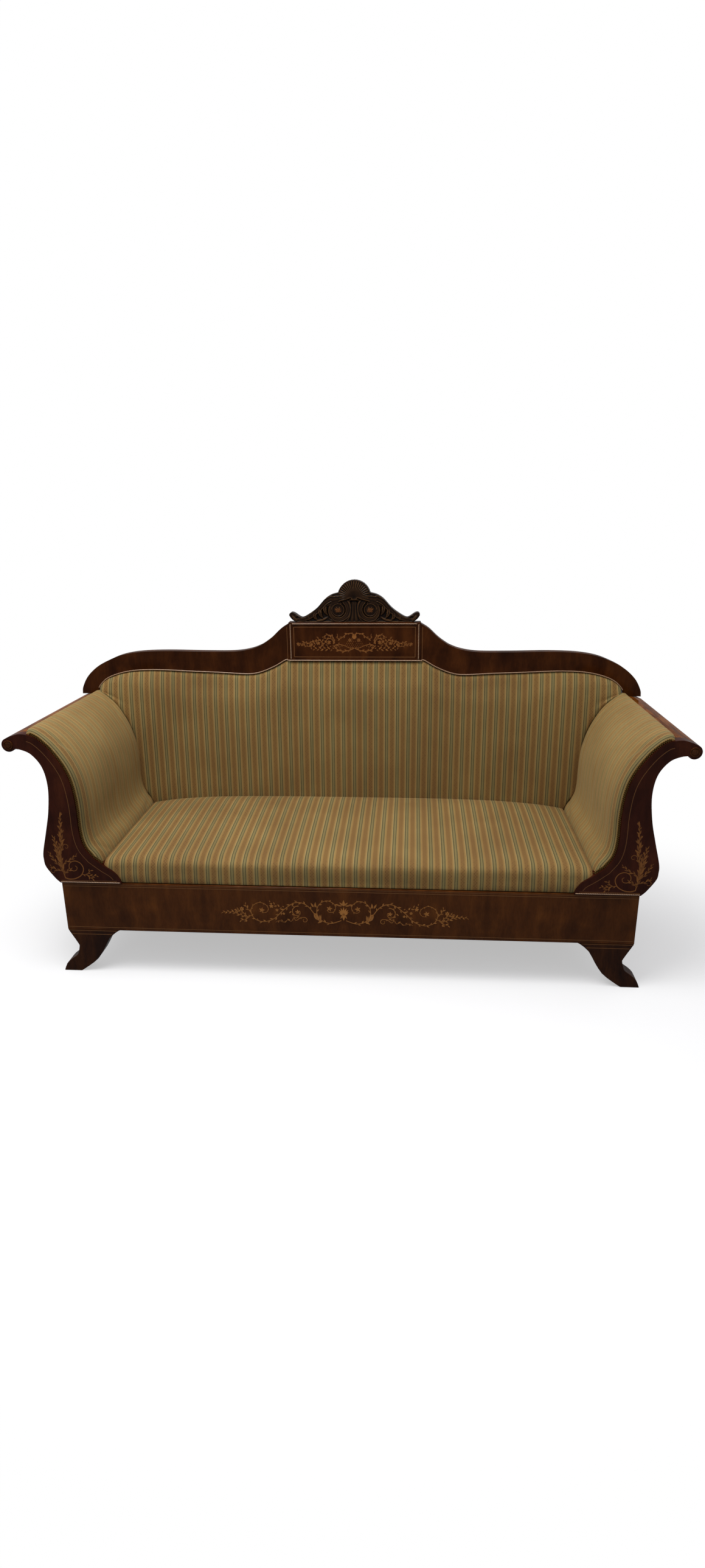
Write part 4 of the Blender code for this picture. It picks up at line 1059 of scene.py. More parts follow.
def makeArm(side, word, room):
    proud, farthest = padding["armProud"], sofa["armRailIn"] - touching
    front = sofaFront + padding["armStart"]
    inward = sideways(armLine, 1.0) - armLine
    window = 15                  # points either side over which the rear's direction is evened out
    padded = np.vstack([inward[:1]] * window + [inward] + [inward[-1:]] * window)
    deeper = np.stack([np.convolve(padded[:, axis], np.ones(2 * window + 1) / (2 * window + 1), "valid")
                       for axis in range(2)], 1)
    lengths = along(armLine)
    total = padding["armEnd"] - touching - padding["armStart"]
    level = total - 1.2 * padding["backProud"]
    edge = padding["armRound"]
    depths = [edge * share for share in (0.0, 0.1, 0.3, 0.58, 1.0)]
    depths += [mix(edge, level, 0.25), mix(edge, level, 0.67), level, total]
    lifts = [0.5, 0.80, 0.94, 0.99, 1.0, 1.08, 1.08, 1.0, 1.0]

    def spot(down, *tables):
        return [np.interp(down * lengths[-1], lengths, table[:, axis]) for table in tables
                for axis in range(2)]

    def moved(down, depth, far, way):
        x, z, outX, outZ = spot(down, armLine, way)
        return side * min(x + outX * far, farthest), front + depth, max(z + outZ * far, sofa["padLow"])

    def face(down, back):
        depth = total * back ** padding["armSkew"]
        height = np.interp(depth, depths, lifts)
        sunk = (1 - height) * proud * (1.0 if height < 1 else 0.8 * math.sin(math.pi * down))
        pull = max(0.0, 1 - abs(down - padding["pullAt"]) / padding["pullWide"]) * min(1.0, depth / 0.08)
        wave = math.sin(depth / padding["pullEvery"] + 7 * down + 2 * math.sin(19 * depth))
        fold = math.sin(125 * depth + 2.5 * math.sin(4 * down) + 1.5 * math.sin(31 * depth))
        sunk += padding["pullDeep"] * pull * wave
        sunk += padding["foldDeep"] * fold * math.sin(math.pi * down) ** 2 * min(1.0, depth / 0.10)
        return moved(down, depth, sunk, inward)

    def rear(down, back):
        return moved(down, total * back ** padding["armSkew"], padding["armThickness"], deeper)

    def weave(down, back):
        return -0.008 + total * back ** padding["armSkew"], side * down * lengths[-1]

    arm = slab(word + "_striped_arm", int(lengths[-1] / padding["armCell"]),
               int(total / padding["armCell"]), face, rear, weave, wrapped=True)
    swell(arm, padding["armSwell"])
    rounded(arm)
    trim(arm, room)
    return arm


def upTo(line, limit):
    kept = line[line[:, 0] < limit - 0.0005]
    return np.vstack([kept, [(limit, np.interp(limit, line[:, 0], line[:, 1]))]])


def makeBack():
    limit = mix(sofa["crestEnd"], sofa["tabletEnd"], padding["backEnd"]) - padding["backClear"]
    arm = sideways(armLine, -touching)[::-1]
    arm = upTo(arm[arm[:, 1] > padding["backFoot"]], limit)
    edge = upTo(np.vstack([[(0.0, sofa["tabletBottom"])], crestLower(6)]), limit) + (0.0, padding["tuck"])
    middle = edge[edge[:, 0] < 0.8 * sofa["crease"]]
    edgeSide = edge[len(middle) - 1:]
    middleShare = padding["backMiddle"]

    def lineAt(share):
        # lower and upper points at a share of the half width
        if share < middleShare:
            upper = at(middle, share / middleShare)
            return np.array((upper[0] * sofa["crease"] / middle[-1][0], sofa["backLow"])), upper
        part = (share - middleShare) / (1 - middleShare)
        return at(arm, part), at(edgeSide, part)

    half = int((sofa["crease"] + padding["backAlongArm"]) / padding["cell"])
    halfLines = [lineAt(step / half) for step in range(half + 1)]

    def patch(share, rise):
        step = int(round(share * 2 * half)) - half
        x, z = mix(*halfLines[abs(step)], rise)
        return x * (1 if step >= 0 else -1), z, abs(step) / half

    def face(share, rise):
        x, z, out = patch(share, rise)
        deep = (padding["backProud"] + 0.001) * (1 - rise) ** 0.35 * (1 - 0.45 * out ** 6)
        return x, backFront + 0.001 - deep, z

    def rear(share, rise):
        x, z = patch(share, rise)[:2]
        return x, sofaFront + padding["backRear"], z

    def weave(share, rise):
        return patch(share, rise)[:2]

    back = slab("striped_back", 2 * half, int(padding["backUp"] / padding["cell"]), face, rear,
                weave)
    swell(back, padding["backSwell"])
    return back


print("pads")
rooms = {side: facadeRoom(side) for side in (-1, 1)}
seat = makeSeat(rooms.values())
arms = [makeArm(side, word, rooms[side]) for side, word in bothSides]
back = makeBack()
for room in rooms.values():
    bpy.data.objects.remove(room, do_unlink=True)
rounded(back)
for piece, finishName, replaced in ((seat, "cloth", "seat_pad"), (arms[0], "faded_painted_light_cloth", "left_arm_pad"),
                                    (arms[1], "faded_painted_light_cloth", "right_arm_pad"),
                                    (back, "cloth", "back_pad")):
    dress(piece, finish[finishName], 40)
    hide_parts(replaced)


# The carved crest: one relief over a fine grid, cut to the board's outline

carving = {
    "cell": 0.0011,              # the spacing of the relief's points
    "halfWidth": 0.236,
    "base": 1.1003,
    "rise": 0.1477,
    "shellRadius": 0.060,
    "flutes": 23,
    "eye": (0.058, 1.1425),
    "eyeRadius": 0.0195,
    "thick": 0.030,
    "cutAt": 0.0118,             # where the relief meets its backing board, and half the gap between
    "gap": 0.0001,
    "flowers": 0.0052,           # how far the flowers in the eyes stand out
    "highlightRise": 0.0007,              # a rise of this much above its surroundings is painted fully lighter, as a painted highlight
}
shellZ = sofa["tabletTop"] + 0.148 - carving["shellRadius"]


def crestOutline():
    sweep = [(0.92, 0.02), (0.966, 0.08), (1.0, 0.17), (0.975, 0.23), (0.924, 0.216), (0.847, 0.135),
             (0.792, 0.115), (0.699, 0.19), (0.572, 0.338), (0.445, 0.554), (0.35, 0.652), (0.254, 0.696)]
    base, wide = carving["base"], carving["halfWidth"]
    half = smoothLine(fromShares(sweep, (0, wide), (base, base + carving["rise"])), 10)
    share = np.linspace(0.02, 0.5, 130)
    ridge = np.abs(np.sin(math.pi * carving["flutes"] * share))
    rim = arc(0, shellZ, carving["shellRadius"] * mix(0.99, 1.0, ridge ** 0.7), mix(-18, 198, share))
    rim = rim[(rim[:, 1] > half[-1][1] + 0.001) & (rim[:, 0] >= 0)]
    half = np.vstack([[(0.90 * wide, base)], half, rim])
    return np.vstack([half, toMirror(half[::-1])])


def nearestOn(line, x, z):
    # distance from every grid point to a line, and the share of the line where it is nearest
    best, where = np.full(x.shape, 1e9), np.zeros(x.shape)
    lengths = along(line)
    for far, start, end in zip(lengths, line[:-1], line[1:]):
        run = end - start
        size = max(run @ run, 1e-12)
        t = np.clip(((x - start[0]) * run[0] + (z - start[1]) * run[1]) / size, 0, 1)
        distance = np.hypot(x - start[0] - t * run[0], z - start[1] - t * run[1])
        nearer = distance < best
        best = np.where(nearer, distance, best)
        where = np.where(nearer, (far + t * math.sqrt(size)) / lengths[-1], where)
    return best, where


def dome(share):
    # a round section: 1 in its middle, 0 at shares of 1 and -1 and beyond
    return np.sqrt(np.maximum(1 - share ** 2, 0))


def rollOn(line, x, z, widths, height, base=0.0):
    # a rounded moulding that follows a line, its half-width given at even shares of the line
    distance, where = nearestOn(line, x, z)
    half = np.interp(where, np.linspace(0, 1, len(widths)), widths)
    return np.where(distance < half, base + height * dome(distance / half) * half / max(widths), -1.0)


def leafOn(line, x, z, width, height, base=0.0012, veins=5):
    # a carved leaf along a line: hollow down the middle, with slanting veins
    distance, where = nearestOn(line, x, z)
    half = width * np.sin(math.pi * np.clip(where, 0.03, 0.97) ** 0.8)
    across = distance / np.maximum(half, 1e-6)
    body = np.sin(math.pi * np.clip(across, 0, 1) ** 0.75) * 0.55 + 0.45 * (1 - across ** 2)
    vein = 0.12 * np.cos(2 * math.pi * veins * (where - 0.12 * across)) * across
    return np.where(across < 1, base + height * (body + vein)
                    * np.sin(math.pi * np.clip(where, 0.1, 0.9)), -1.0)


def turnsOf(x, z, start, stop, fromRadius, toRadius, count=60):
    return arc(x, z, np.linspace(fromRadius, toRadius, count), np.linspace(start, stop, count))


def relief(x, z):
    # height of the carving in front of the board, for the half at +X; later forms lie over earlier ones
    base, eye, eyeRadius = carving["base"], carving["eye"], carving["eyeRadius"]
    height = np.zeros(x.shape)

    def lay(where, form):
        np.maximum(height, np.where(where, form, -1), out=height)

    # hollow ground inside a raised border that follows the outline
    outline = crestOutline()
    edge, where = nearestOn(outline[outline[:, 0] >= -0.001], x, z)
    lay(edge < 0.0045, 0.0030 * dome((edge - 0.0015) / 0.0034))
    # the broad band: from the ear up along the sweep, over the eye, and in, with a lip at both edges
    tail = smoothLine(mm(214, 1110.5, 190, 1108.5, 165, 1116.5, 146, 1130, 124, 1151, 104, 1171,
                         82, 1183), 10)
    distance, where = nearestOn(np.vstack([tail, turnsOf(*eye, 62, 470, 0.0415, 0.0255)]), x, z)
    wide = np.interp(where, np.linspace(0, 1, 9), [0.0035, 0.0075, 0.0100, 0.0105, 0.0100, 0.0090,
                                                   0.0075, 0.0060, 0.0045])
    across = distance / wide
    body = np.where(across < 0.80, 0.0030 + 0.0022 * dome(across / 0.80), 0)
    lip = 0.0076 * dome((across - 0.84) / 0.16)
    lay(across < 1, np.maximum(body, lip) * np.minimum(1, wide / 0.008))
    # a fine bead beside it, and the ring round the eye
    lay(True, rollOn(sideways(tail, -0.0125)[8:], x, z, [0.001, 0.0022, 0.0025], 0.0032))
    lay(True, rollOn(turnsOf(*eye, 0, 360, 0.0215, 0.0215), x, z, [0.0018, 0.0018], 0.0028, 0.001))
    gapX, gapZ = x - eye[0], z - eye[1]
    out = np.hypot(gapX, gapZ)
    lay(out < eyeRadius, 0.0016 + 0.0010 * np.cos(out / eyeRadius * math.pi / 2))
    # inner band from the shell's foot down between the two eyes
    inner = smoothLine(mm(46, 1197, 30, 1188, 19, 1172, 13.5, 1152, 15, 1130, 22, 1112, 32, 1103.5), 8)
    lay(True, rollOn(inner, x, z, [0.002, 0.005, 0.005, 0.004, 0.005, 0.003], 0.0062))
    # the panel under the cross-bar, reeded
    panel = mix(0.026, 0.008, np.clip((z - base) / 0.075, 0, 1))
    lay((x < panel) & (z < 1.176), 0.0022 + 0.0016 * np.abs(np.sin(x / panel * math.pi * 1.5)))
    lay((np.abs(z - 1.1785) < 0.0034) & (x < 0.0175), 0.0058 * dome((z - 1.1785) / 0.0032) + 0.002)
    # acanthus between the roll and the ear, each leaf over the one before
    for points, width, size in (
            (mm(100, 1166, 106, 1150, 103, 1134, 94, 1122), 0.0085, 0.0070),
            (mm(116, 1154, 124, 1139, 121, 1124, 111, 1112), 0.0090, 0.0072),
            (mm(134, 1139, 143, 1127, 141, 1115, 131, 1106), 0.0085, 0.0066),
            (mm(153, 1126, 163, 1118, 165, 1110, 157, 1104), 0.0065, 0.0055),
            (mm(96, 1118, 112, 1109, 130, 1105, 148, 1103), 0.0050, 0.0048),
            (mm(200, 1106, 214, 1110, 222, 1120, 231, 1131), 0.0065, 0.0065),
            (mm(90, 1112, 78, 1105, 60, 1103.5, 42, 1104.5), 0.0045, 0.0045)):
        lay(True, leafOn(smoothLine(points, 6), x, z, width, size))
    # a flower laid into the eye
    petals = 0.0125 * (0.72 + 0.28 * np.cos(6 * np.arctan2(gapZ, gapX)))
    lay(out < petals, 0.0034 + 0.0016 * (1 - out / petals))
    lay(out < 0.003, 0.0056)
    # moulding along the foot
    lay(z < base + 0.0035, 0.0042)
    # the shell: its middle is a smooth dome; the flutes open towards the rim and end in a smooth edge
    share = (np.degrees(np.arctan2(z - shellZ, x)) + 18) / 216
    radius = np.hypot(x, z - shellZ) / carving["shellRadius"]
    ridge = np.abs(np.sin(math.pi * carving["flutes"] * share)) ** 0.8
    fluted = np.clip((radius - 0.42) / 0.22, 0, 1) * np.clip((0.955 - radius) / 0.05, 0, 1)
    shell = 0.0105 * np.sin(math.pi * mix(0.24, 0.88, np.clip(radius, 0, 1)))
    foot = (z < shellZ) & (z > 1.179) & (x < 0.012)
    lay((share > 0) & (share < 1) | foot, shell * (1 - 0.42 * fluted * (1 - ridge)))
    return height


def evened(height, turns, own):
    # every point is brought towards its four neighbours, its own height counting this often
    height = height.copy()
    for turn in range(turns):
        height[1:-1, 1:-1] = (height[1:-1, 1:-1] * own + height[:-2, 1:-1] + height[2:, 1:-1]
                              + height[1:-1, :-2] + height[1:-1, 2:]) / (4 + own)
    return height


def makeCrest():
    cell, half = carving["cell"], carving["halfWidth"] + 0.003
    columns = 2 * int(half / cell)
    low, high = carving["base"] - 0.004, sofa["tabletTop"] + 0.151
    rows = int((high - low) / cell)
    x, z = np.meshgrid(np.linspace(-half, half, columns + 1), np.linspace(low, high, rows + 1))
    height = evened(relief(np.abs(x), z), 2, 2)
    count = (columns + 1) * (rows + 1)
    places = np.stack([x.ravel(), (crestFront - height).ravel(), z.ravel()], 1)
    index = np.arange(count).reshape(rows + 1, columns + 1)
    faces = np.stack([index[:-1, :-1], index[:-1, 1:], index[1:, 1:], index[1:, :-1]], -1).reshape(-1, 4)
    ring = np.concatenate([index[0, :], index[1:, -1], index[-1, -2::-1], index[-2:0:-1, 0]])
    places = np.vstack([places, places[ring] * (1, 0, 1) + (0, crestFront + 0.012, 0)])
    wall = np.arange(count, count + len(ring))
    walls = np.stack([ring, wall, np.roll(wall, -1), np.roll(ring, -1)], 1)
    mesh = bpy.data.meshes.new("carved_relief")
    mesh.from_pydata(places.tolist(), [], faces.tolist() + walls.tolist() + [wall.tolist()])
    mesh.update()
    # high places +1 and depths -1, for the painted highlights and painted shade of the relief
    worn = np.zeros(len(places))
    worn[:count] = np.clip((height - evened(height, 12, 0)).ravel() / carving["highlightRise"], -1, 1)
    mesh.attributes.new("worn", "FLOAT", "POINT").data.foreach_set("value", worn)
    piece = placed("carved_relief", mesh)
    facedOut(piece)
    outline, meet, gap = crestOutline(), crestFront + carving["cutAt"], carving["gap"]
    shapeCut = plateOf("crest_shape", outline, crestFront - 0.03, meet - gap)
    trim(piece, shapeCut, "INTERSECT")
    bpy.data.objects.remove(shapeCut, do_unlink=True)
    backing = plateOf("crest_backing", outline, meet + gap, crestFront + carving["thick"])
    dress(joined([piece, backing], "carved_shell_crest"), finish["carved"], 38,
          "carved_crest")
    # small light flowers let into the two eyes
    inlaid("eye_flowers", [leaf(*carving["eye"], 12 + 60 * turn, (0.0135, 0.0085, 0.0115)[turn % 3],
                                0.0062, 0.16 - 0.1 * (turn % 2), 0.6) for turn in range(6)],
           crestFront - carving["flowers"], "marquetry")


print("crest")
makeCrest()


# Rope beads: a bar of two strands, twisted

ropeRuns = {
    "sunk": 0.0018,              # how far a thin bead's middle stands in front of its board
    "tabletSide": 0.233,
    "tabletEnds": (0.968, 1.094),
    "tabletTop": (0.226, 1.0945),
    "facadeEnds": (0.731, 0.929),
    "facadeUp": 0.3345,
}

def ropeBead(name, path, radius, replaced=None):
    bead = bar(name, evenly(path, rope["step"]), radius, 8, lobes=2, pitch=rope["pitch"],
               depth=rope["groove"])
    dress(bead, finish["rope"], 60, replaced)


def makeRopes():
    clear = 0.003 + touching
    edge = evenly(sideways(crestLower(8), 0.003), 0.004)
    lowest = sofa["armHeight"] + padding["armProud"] + 0.002
    edge = edge[(edge[:, 1] > lowest) | (edge[:, 0] < 0.6)]
    edge = edge[edge[:, 0] > sofa["tabletEnd"] + 0.005]
    half = [(x, tabletFront - clear, sofa["tabletBottom"] + up) for x, up in (
        (0.0, 0.003), (sofa["tabletEnd"] - 0.003, 0.003), (sofa["tabletEnd"] + 0.004, 0.0035))]
    half += [(x, backFront - clear, z) for x, z in edge]
    ropeBead("rope_under_back", np.vstack([toMirror(half[:0:-1]), half]), rope["radius"], "back_bead")
    thin = rope["thin"]
    y, front = tabletFront - ropeRuns["sunk"], facadeFront - ropeRuns["sunk"]
    for side, word in bothSides:
        ropeBead(word + "_tablet_rope", [(side * ropeRuns["tabletSide"], y, z)
                                         for z in ropeRuns["tabletEnds"]], thin)
        ropeBead(word + "_facade_rope", [(side * x, front, ropeRuns["facadeUp"])
                                         for x in ropeRuns["facadeEnds"]], thin)
    end, z = ropeRuns["tabletTop"]
    ropeBead("tablet_top_rope", [(-end, y, z), (end, y, z)], thin)


print("ropes")
makeRopes()


# Gimp: a woven braid with looped edges, glued over the cloth's edge beside the facade

gimp = {
    "past": 0.003,
    "width": 0.0085,
    "band": 0.62,                # the band's share of that width, and how far the cords swing
    "swing": 0.44,
    "loop": 0.0062,
    "cord": 0.0011,
    "thick": 0.0014,
    "tones": (0.62, 0.0, 0.5),   # of the band and of its two cords
}


def makeGimp(side, word):
    line = np.vstack([innerEdge(8), toeEdge(8)[1:]])
    line = line[line[:, 0] < sofa["armRailIn"] - 0.010]
    middle = evenly(sideways(line, -gimp["width"] / 2 - 0.0004), 0.0012)
    middle = middle[middle[:, 0] > sofa["crease"] - gimp["past"]]
    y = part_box(word + "_arm_gimp")[1][1] - gimp["thick"]
    shape = bmesh.new()
    strip(shape, *unrolled(middle, gimp["width"] * gimp["band"]), side, y - 0.0009, y + gimp["thick"])
    pieces = [fromShape(word + "_braid_band", shape)]
    turns = 2 * math.pi * along(middle) / gimp["loop"]
    for phase in (0.0, math.pi):
        wave = np.sin(turns + phase) * gimp["width"] * gimp["swing"]
        path = middle + leftOf(middle) * wave[:, None]
        lift = y - 0.0006 - 0.0007 * np.cos(2 * turns + phase)
        pieces.append(bar(word + "_braid_cord", np.stack([side * path[:, 0], lift, path[:, 1]], 1),
                          gimp["cord"], 5))
    for part, tone in zip(pieces, gimp["tones"]):
        tones(part, [tone] * len(part.data.polygons))
    dress(joined(pieces, word + "_gimp_braid"), finish["braid"], 60, word + "_arm_gimp")


print("gimps")
for side, word in bothSides:
    makeGimp(side, word)


# Sheets of cloth on the outside, and the canvas and webbing inside

sheets = {
    "cloth": 0.0016,             # how thick the striped cloth, the linen and the canvas are
    "linen": 0.0014,
    "canvas": 0.0012,
    "clothInset": 0.0025,        # how far the outside cloth lies inside from the facade's outline
    "clothStep": (0.008, 0.012),
    "clothStart": 0.004,
    "overBead": 0.012,           # how far the linen goes up behind the bead
    "underBead": 0.0125,
    "ripple": 0.0005,
    "tackRadius": 0.0042,
    "tackIn": 0.007,             # from the linen's edge to a tack
    "tackEnd": 0.008,
    "tacks": (32, 10),           # how many along an edge and up a side
    "tackUp": (0.06, 0.83),
}

def sheet(name, columns, rows, surface, thickness, finishName, flat, replaced,
          weave=None):
    # a stretched sheet as a grid of a surface of two shares, with its map in metres where it has one
    shape = bmesh.new()
    layer = weave and shape.loops.layers.uv.new("weave")
    verts = [[shape.verts.new(surface(c / columns, r / rows)) for c in range(columns + 1)]
             for r in range(rows + 1)]
    for row in range(rows):
        for column in range(columns):
            spots = ((row, column), (row, column + 1), (row + 1, column + 1), (row + 1, column))
            face = shape.faces.new([verts[r][c] for r, c in spots])
            for loop, (r, c) in zip(face.loops, spots if weave else ()):
                loop[layer].uv = weave(c / columns, r / rows)
    piece = fromShape(name, shape)
    modified(piece, "SOLIDIFY", thickness=thickness, offset=0)
    dress(piece, finish[finishName], 50)
    flat = tuple(round(float(size), 3) for size in flat)
    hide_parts(replaced)


def makeOutsideCloth(side, word):
    # the cloth follows the arm's outside, stretched from the facade to the rear
    low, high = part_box(word + "_outside_arm_cloth")
    line = sideways(outerEdge(8), sheets["clothInset"])
    line = line[(line[:, 0] < sofa["armRailIn"] - 0.001) & (line[:, 1] > low[2])]
    line = evenly(onSide(np.vstack([[(line[0][0], low[2])], line]), side), sheets["clothStep"][0])
    lengths = along(line)
    deep = high[1] - low[1]

    def surface(up, back):
        x, z = line[round(up * (len(line) - 1))]
        return x, mix(low[1], high[1], back), z

    def weave(up, back):
        return deep * back + sheets["clothStart"], lengths[round(up * (len(line) - 1))]

    sheet(word + "_outside_cloth", len(line) - 1, int(deep / sheets["clothStep"][1]), surface,
          sheets["cloth"], "cloth", (lengths[-1], deep),
          word + "_outside_arm_cloth", weave)


def makeTacks(places):
    # flat-headed tacks that hold the rear cloth
    clearSelection()
    bpy.ops.mesh.primitive_uv_sphere_add(segments=8, ring_count=6, radius=sheets["tackRadius"],
                                         location=(0, 0, 0))
    tack = bpy.context.object
    tack.data.transform(Matrix.Diagonal((1, 0.35, 1, 1)))
    heads = [placed("tack", tack.data.copy()) for place in places]
    for head, place in zip(heads, places):
        head.location = place
        settle(head)
    bpy.data.objects.remove(tack, do_unlink=True)
    dress(joined(heads, "rear_cloth_tacks"), finish["steel"], 60)


def makeSheets():
    for side, word in bothSides:
        makeOutsideCloth(side, word)
    top = crestLower(8)
    topX = np.concatenate([[0.0], top[:, 0]])
    topZ = np.concatenate([[sofa["tabletBottom"]], top[:, 1]]) + sheets["overBead"]

    def topAt(x):
        return np.interp(abs(x), topX, topZ)

    low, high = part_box("rear_cloth")
    middle = (low[1] + high[1]) / 2 - 0.0004

    def rearSurface(across, up, low=low, high=high):
        x = mix(low[0], high[0], across)
        ripple = sheets["ripple"] * math.sin(x * 26) * math.sin(math.pi * up) * math.sin(math.pi * across)
        return x, middle + ripple, mix(low[2], float(topAt(x)), up)

    sheet("rear_linen", 150, 50, rearSurface, sheets["linen"], "linen",
          (high[0] - low[0], topZ.max() - low[2]),
          "rear_cloth")
    y = high[1] - 0.0012
    tackIn, (across, up), (lowest, highest) = sheets["tackIn"], sheets["tacks"], sheets["tackUp"]
    places = []
    for x in np.linspace(low[0] + sheets["tackEnd"], high[0] - sheets["tackEnd"], across):
        places += [(x, y, low[2] + tackIn), (x, y, float(topAt(x)) - tackIn)]
    for z in np.linspace(low[2] + lowest, highest, up):
        places += [(low[0] + tackIn, y, z), (high[0] - tackIn, y, z)]
    makeTacks(places)
    low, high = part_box("back_canvas")
    rise = armLine[::-1]
    rise = rise[rise[:, 1] > low[2] + 0.002]

    def backSurface(across, up, low=low, high=high):
        x = mix(low[0], high[0], across)
        bottom = float(np.interp(abs(x), rise[:, 0], rise[:, 1])) if abs(x) > sofa["crease"] else low[2]
        return x, (low[1] + high[1]) / 2, mix(bottom, max(float(topAt(x)) - sheets["underBead"], bottom),
                                                 up)

    heights = [backSurface(float(part), 1.0)[2] - backSurface(float(part), 0.0)[2]
               for part in np.linspace(0, 1, 300)]
    sheet("back_linen_canvas", 100, 30, backSurface, sheets["canvas"], "linen",
          (high[0] - low[0], high[2] - low[2]),
          "back_canvas")
    low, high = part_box("spring_canvas")
    sheet("spring_linen_canvas", 40, 16, lambda across, back: (
          mix(low[0], high[0], across), mix(low[1], high[1], back), (low[2] + high[2]) / 2),
          sheets["canvas"], "linen", (high[0] - low[0], high[1] - low[1]),
          "spring_canvas")


webbing = {"across": 9, "width": 0.050, "thick": 0.0018, "over": 0.0011, "margin": 0.1438}


def strap(axis, start, stop, still, crossings, z, number, points):
    # one jute strap along an axis, over and under those that it crosses
    line = np.zeros((points, 3))
    line[:, axis] = np.linspace(start, stop, points)
    line[:, 1 - axis] = still
    ways = [1 if (number + other + axis) % 2 == 0 else -1 for other in range(len(crossings))]
    line[:, 2] = z + webbing["over"] * np.interp(line[:, axis], [start, *crossings, stop], [0, *ways, 0])
    across = np.eye(3)[1 - axis] * webbing["width"] / 2 * (1 if axis else -1)
    shape = bmesh.new()
    rings = [[shape.verts.new(place + out * across + (0, 0, up * webbing["thick"] / 2))
              for out, up in ((-1, -1), (1, -1), (1, 1), (-1, 1))] for place in line]
    list(skin(shape, rings))
    return fromShape("strap", shape)


def makeWebbing():
    # straps woven over and under each other, tacked under the seat frame
    low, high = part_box("seat_webbing")
    z = (low[2] + high[2]) / 2
    xs = np.linspace(-sofa["crease"], sofa["crease"], webbing["across"])
    ys = [low[1] + webbing["margin"], (low[1] + high[1]) / 2, high[1] - webbing["margin"]]
    straps = [strap(1, low[1], high[1], x, ys, z, number, 60) for number, x in enumerate(xs)]
    straps += [strap(0, low[0], high[0], y, xs, z, number, 160) for number, y in enumerate(ys)]
    dress(joined(straps, "jute_webbing_straps"), finish["jute"], 40, "seat_webbing")


print("sheets")
makeSheets()
makeWebbing()


# CAD pieces that keep their own shape get their finishes here

slotFinish = {"mahogany": "solid_mahogany", "arm_mahogany": "arm_rail_mahogany", "carved_wood": "carved",
              "pine": "aged_pine", "striped_cloth": "cloth"}
ownFinish = {"front_seat_rail": "front_veneer", "left_seat_rail": "front_veneer",
             "right_seat_rail": "front_veneer", "crest_tablet": "back_veneer",
             "left_scroll_roundel": "roundel", "right_scroll_roundel": "roundel"}
for name, node in nodes.items():
    for slot in node.material_slots:
        slotName = slot.material.name.split(".")[0]
        slot.material = finish[ownFinish.get(name, slotFinish.get(slotName, slotName))]


# Camera, light and stage

stage = {
    "camera": (0.209, -2.641, 1.463),
    "turned": 4.33,              # degrees to the left, down and over on its side
    "down": 18.47,
    "rolled": -0.59,
    "lens": 18.41,
    "floorTone": "#6A6866",      # what the floor throws back on the sofa is that of a mid-tone floor
    "glow": (0.05, 0.75),        # the studio's darkest and brightest walls
    "paperMiddle": (-0.1, 0.25, 0.0),
    "paperSquash": (0.75, 1.0, 1.0),
    "paperFade": (0.75, 1.65, 0.45, 1.0),    # from this far out to that far, and how white there
}
lamps = {
    "key": ((-0.7, -0.9, 3.5), (0.1, 0.05, 0.3), 1.8, 90),
    "fill": ((-1.6, -3.8, 2.0), (0, 0, 0.5), 1.6, 6),
}


def lamp(name, location, target, size, power):
    light = placed(name, bpy.data.lights.new(name, "AREA"))
    light.data.size = size
    light.data.energy = power
    light.location = location
    light.rotation_euler = (Vector(target) - Vector(location)).to_track_quat("-Z", "Y").to_euler()


def seenDirectly(add):
    # 1 where the camera sees a surface, also in a gloss or through glass
    rays = add("LightPath").node.outputs
    seen = add("Math", (rays["Is Camera Ray"], rays["Is Glossy Ray"]), operation="ADD")
    return add("Math", (seen, rays["Is Transmission Ray"]), operation="ADD", use_clamp=True)


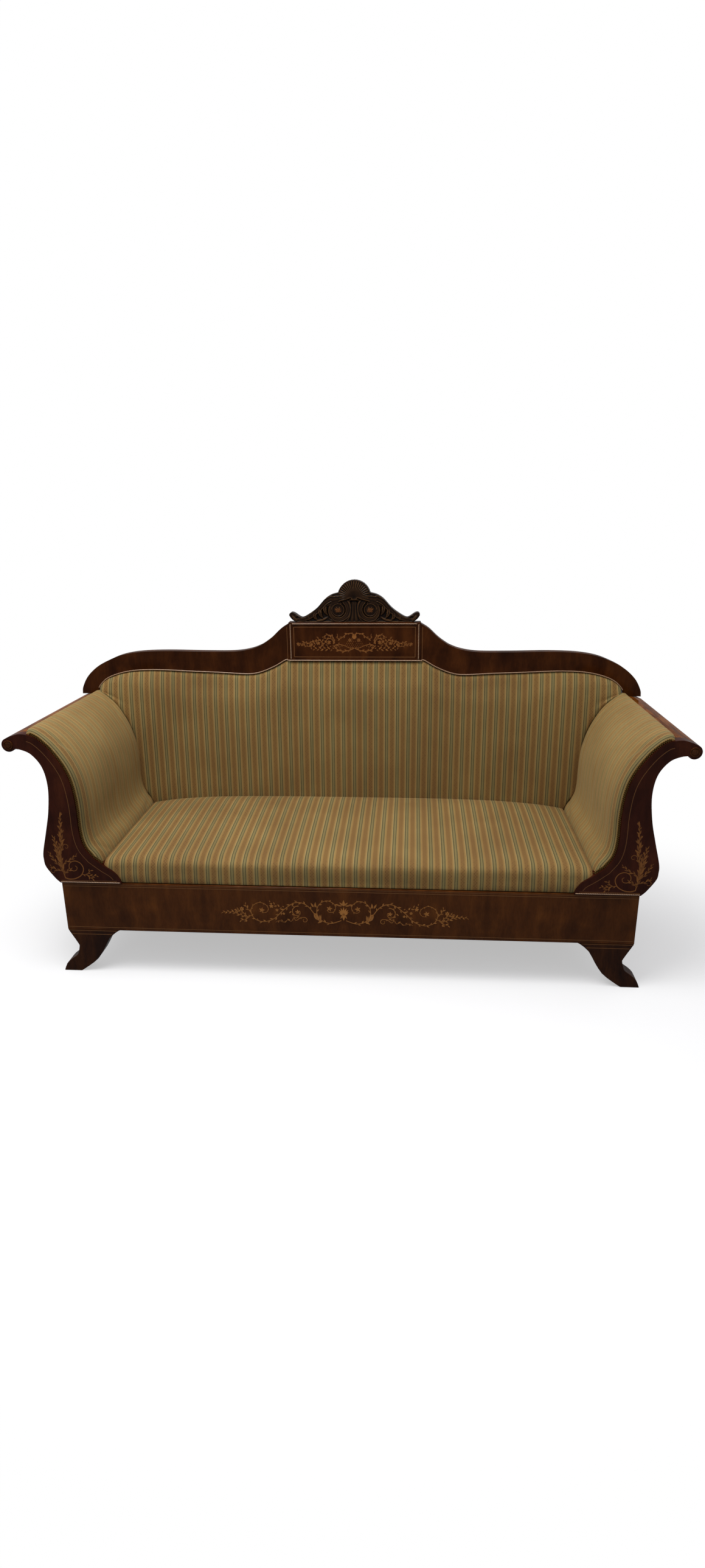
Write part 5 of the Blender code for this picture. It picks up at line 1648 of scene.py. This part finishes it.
def makeStage():
    camera = placed("camera", bpy.data.cameras.new("camera"))
    turn = Matrix.Translation(stage["camera"])
    for degrees, axis in ((stage["turned"], "Z"), (90 - stage["down"], "X"), (stage["rolled"], "Z")):
        turn = turn @ Matrix.Rotation(math.radians(degrees), 4, axis)
    camera.matrix_world = turn
    camera.data.lens = stage["lens"]
    camera.data.sensor_width = 36
    camera.data.clip_start = 0.01
    scene.camera = camera
    clearSelection()
    bpy.ops.mesh.primitive_plane_add(size=40, location=(0, 0, 0))
    floor = bpy.context.object
    floor.name = "floor"
    # matt white paper: seen by the camera it is white and keeps the sofa's soft shadow, further out it
    # fades to the plain backdrop
    paper, add = newMaterial("white_paper_floor", Roughness=0.95, Specular_IOR_Level=0.0)
    seen = seenDirectly(add)
    wired(paper, Base_Color=add("Mix", {0: seen, 6: stage["floorTone"], 7: "#FFFFFF"}, out=2,
                                data_type="RGBA"))
    place = add("Mapping", {"Vector": add("TexCoord", out="Object"), "Location": stage["paperMiddle"],
                            "Scale": stage["paperSquash"]})
    away = add("VectorMath", (place,), out="Value", operation="LENGTH")
    fade = add("MapRange", (away, *stage["paperFade"]), interpolation_type="SMOOTHSTEP")
    fade = add("Math", (fade, seen), operation="MULTIPLY")
    tree = paper.node_tree
    surface = add("MixShader", (fade, tree.nodes["Principled BSDF"].outputs[0],
                                add("Emission", {"Color": "#FFFFFF", "Strength": 1.0})))
    tree.links.new(surface, tree.nodes["Material Output"].inputs["Surface"])
    floor.data.materials.append(paper)
    # the studio: bright above and at both ends, dark in front, and plain white to the camera
    scene.world = bpy.data.worlds.new("studio")
    scene.world.use_nodes = True
    tree = scene.world.node_tree
    add = partial(addNode, tree)
    seen = seenDirectly(add)
    way = add("SeparateXYZ", (add("TexCoord", out="Generated"),)).node.outputs
    ends = add("Math", (add("Math", (way["X"],), operation="ABSOLUTE"), 0.7), operation="MULTIPLY")
    glow = add("MapRange", (add("Math", (way["Z"], ends), operation="MAXIMUM"), 0.1, 0.9, *stage["glow"]))
    soft, white = [add("Background", {"Color": colour, "Strength": strength})
                   for colour, strength in (("#FAFAFF", glow), ("#FFFFFF", 1.0))]
    tree.links.new(add("MixShader", (seen, soft, white)), tree.nodes["World Output"].inputs["Surface"])
    for name, (location, target, size, power) in lamps.items():
        lamp(name, location, target, size, power)
    scene.view_settings.view_transform = "Standard"


makeStage()
print("stage")
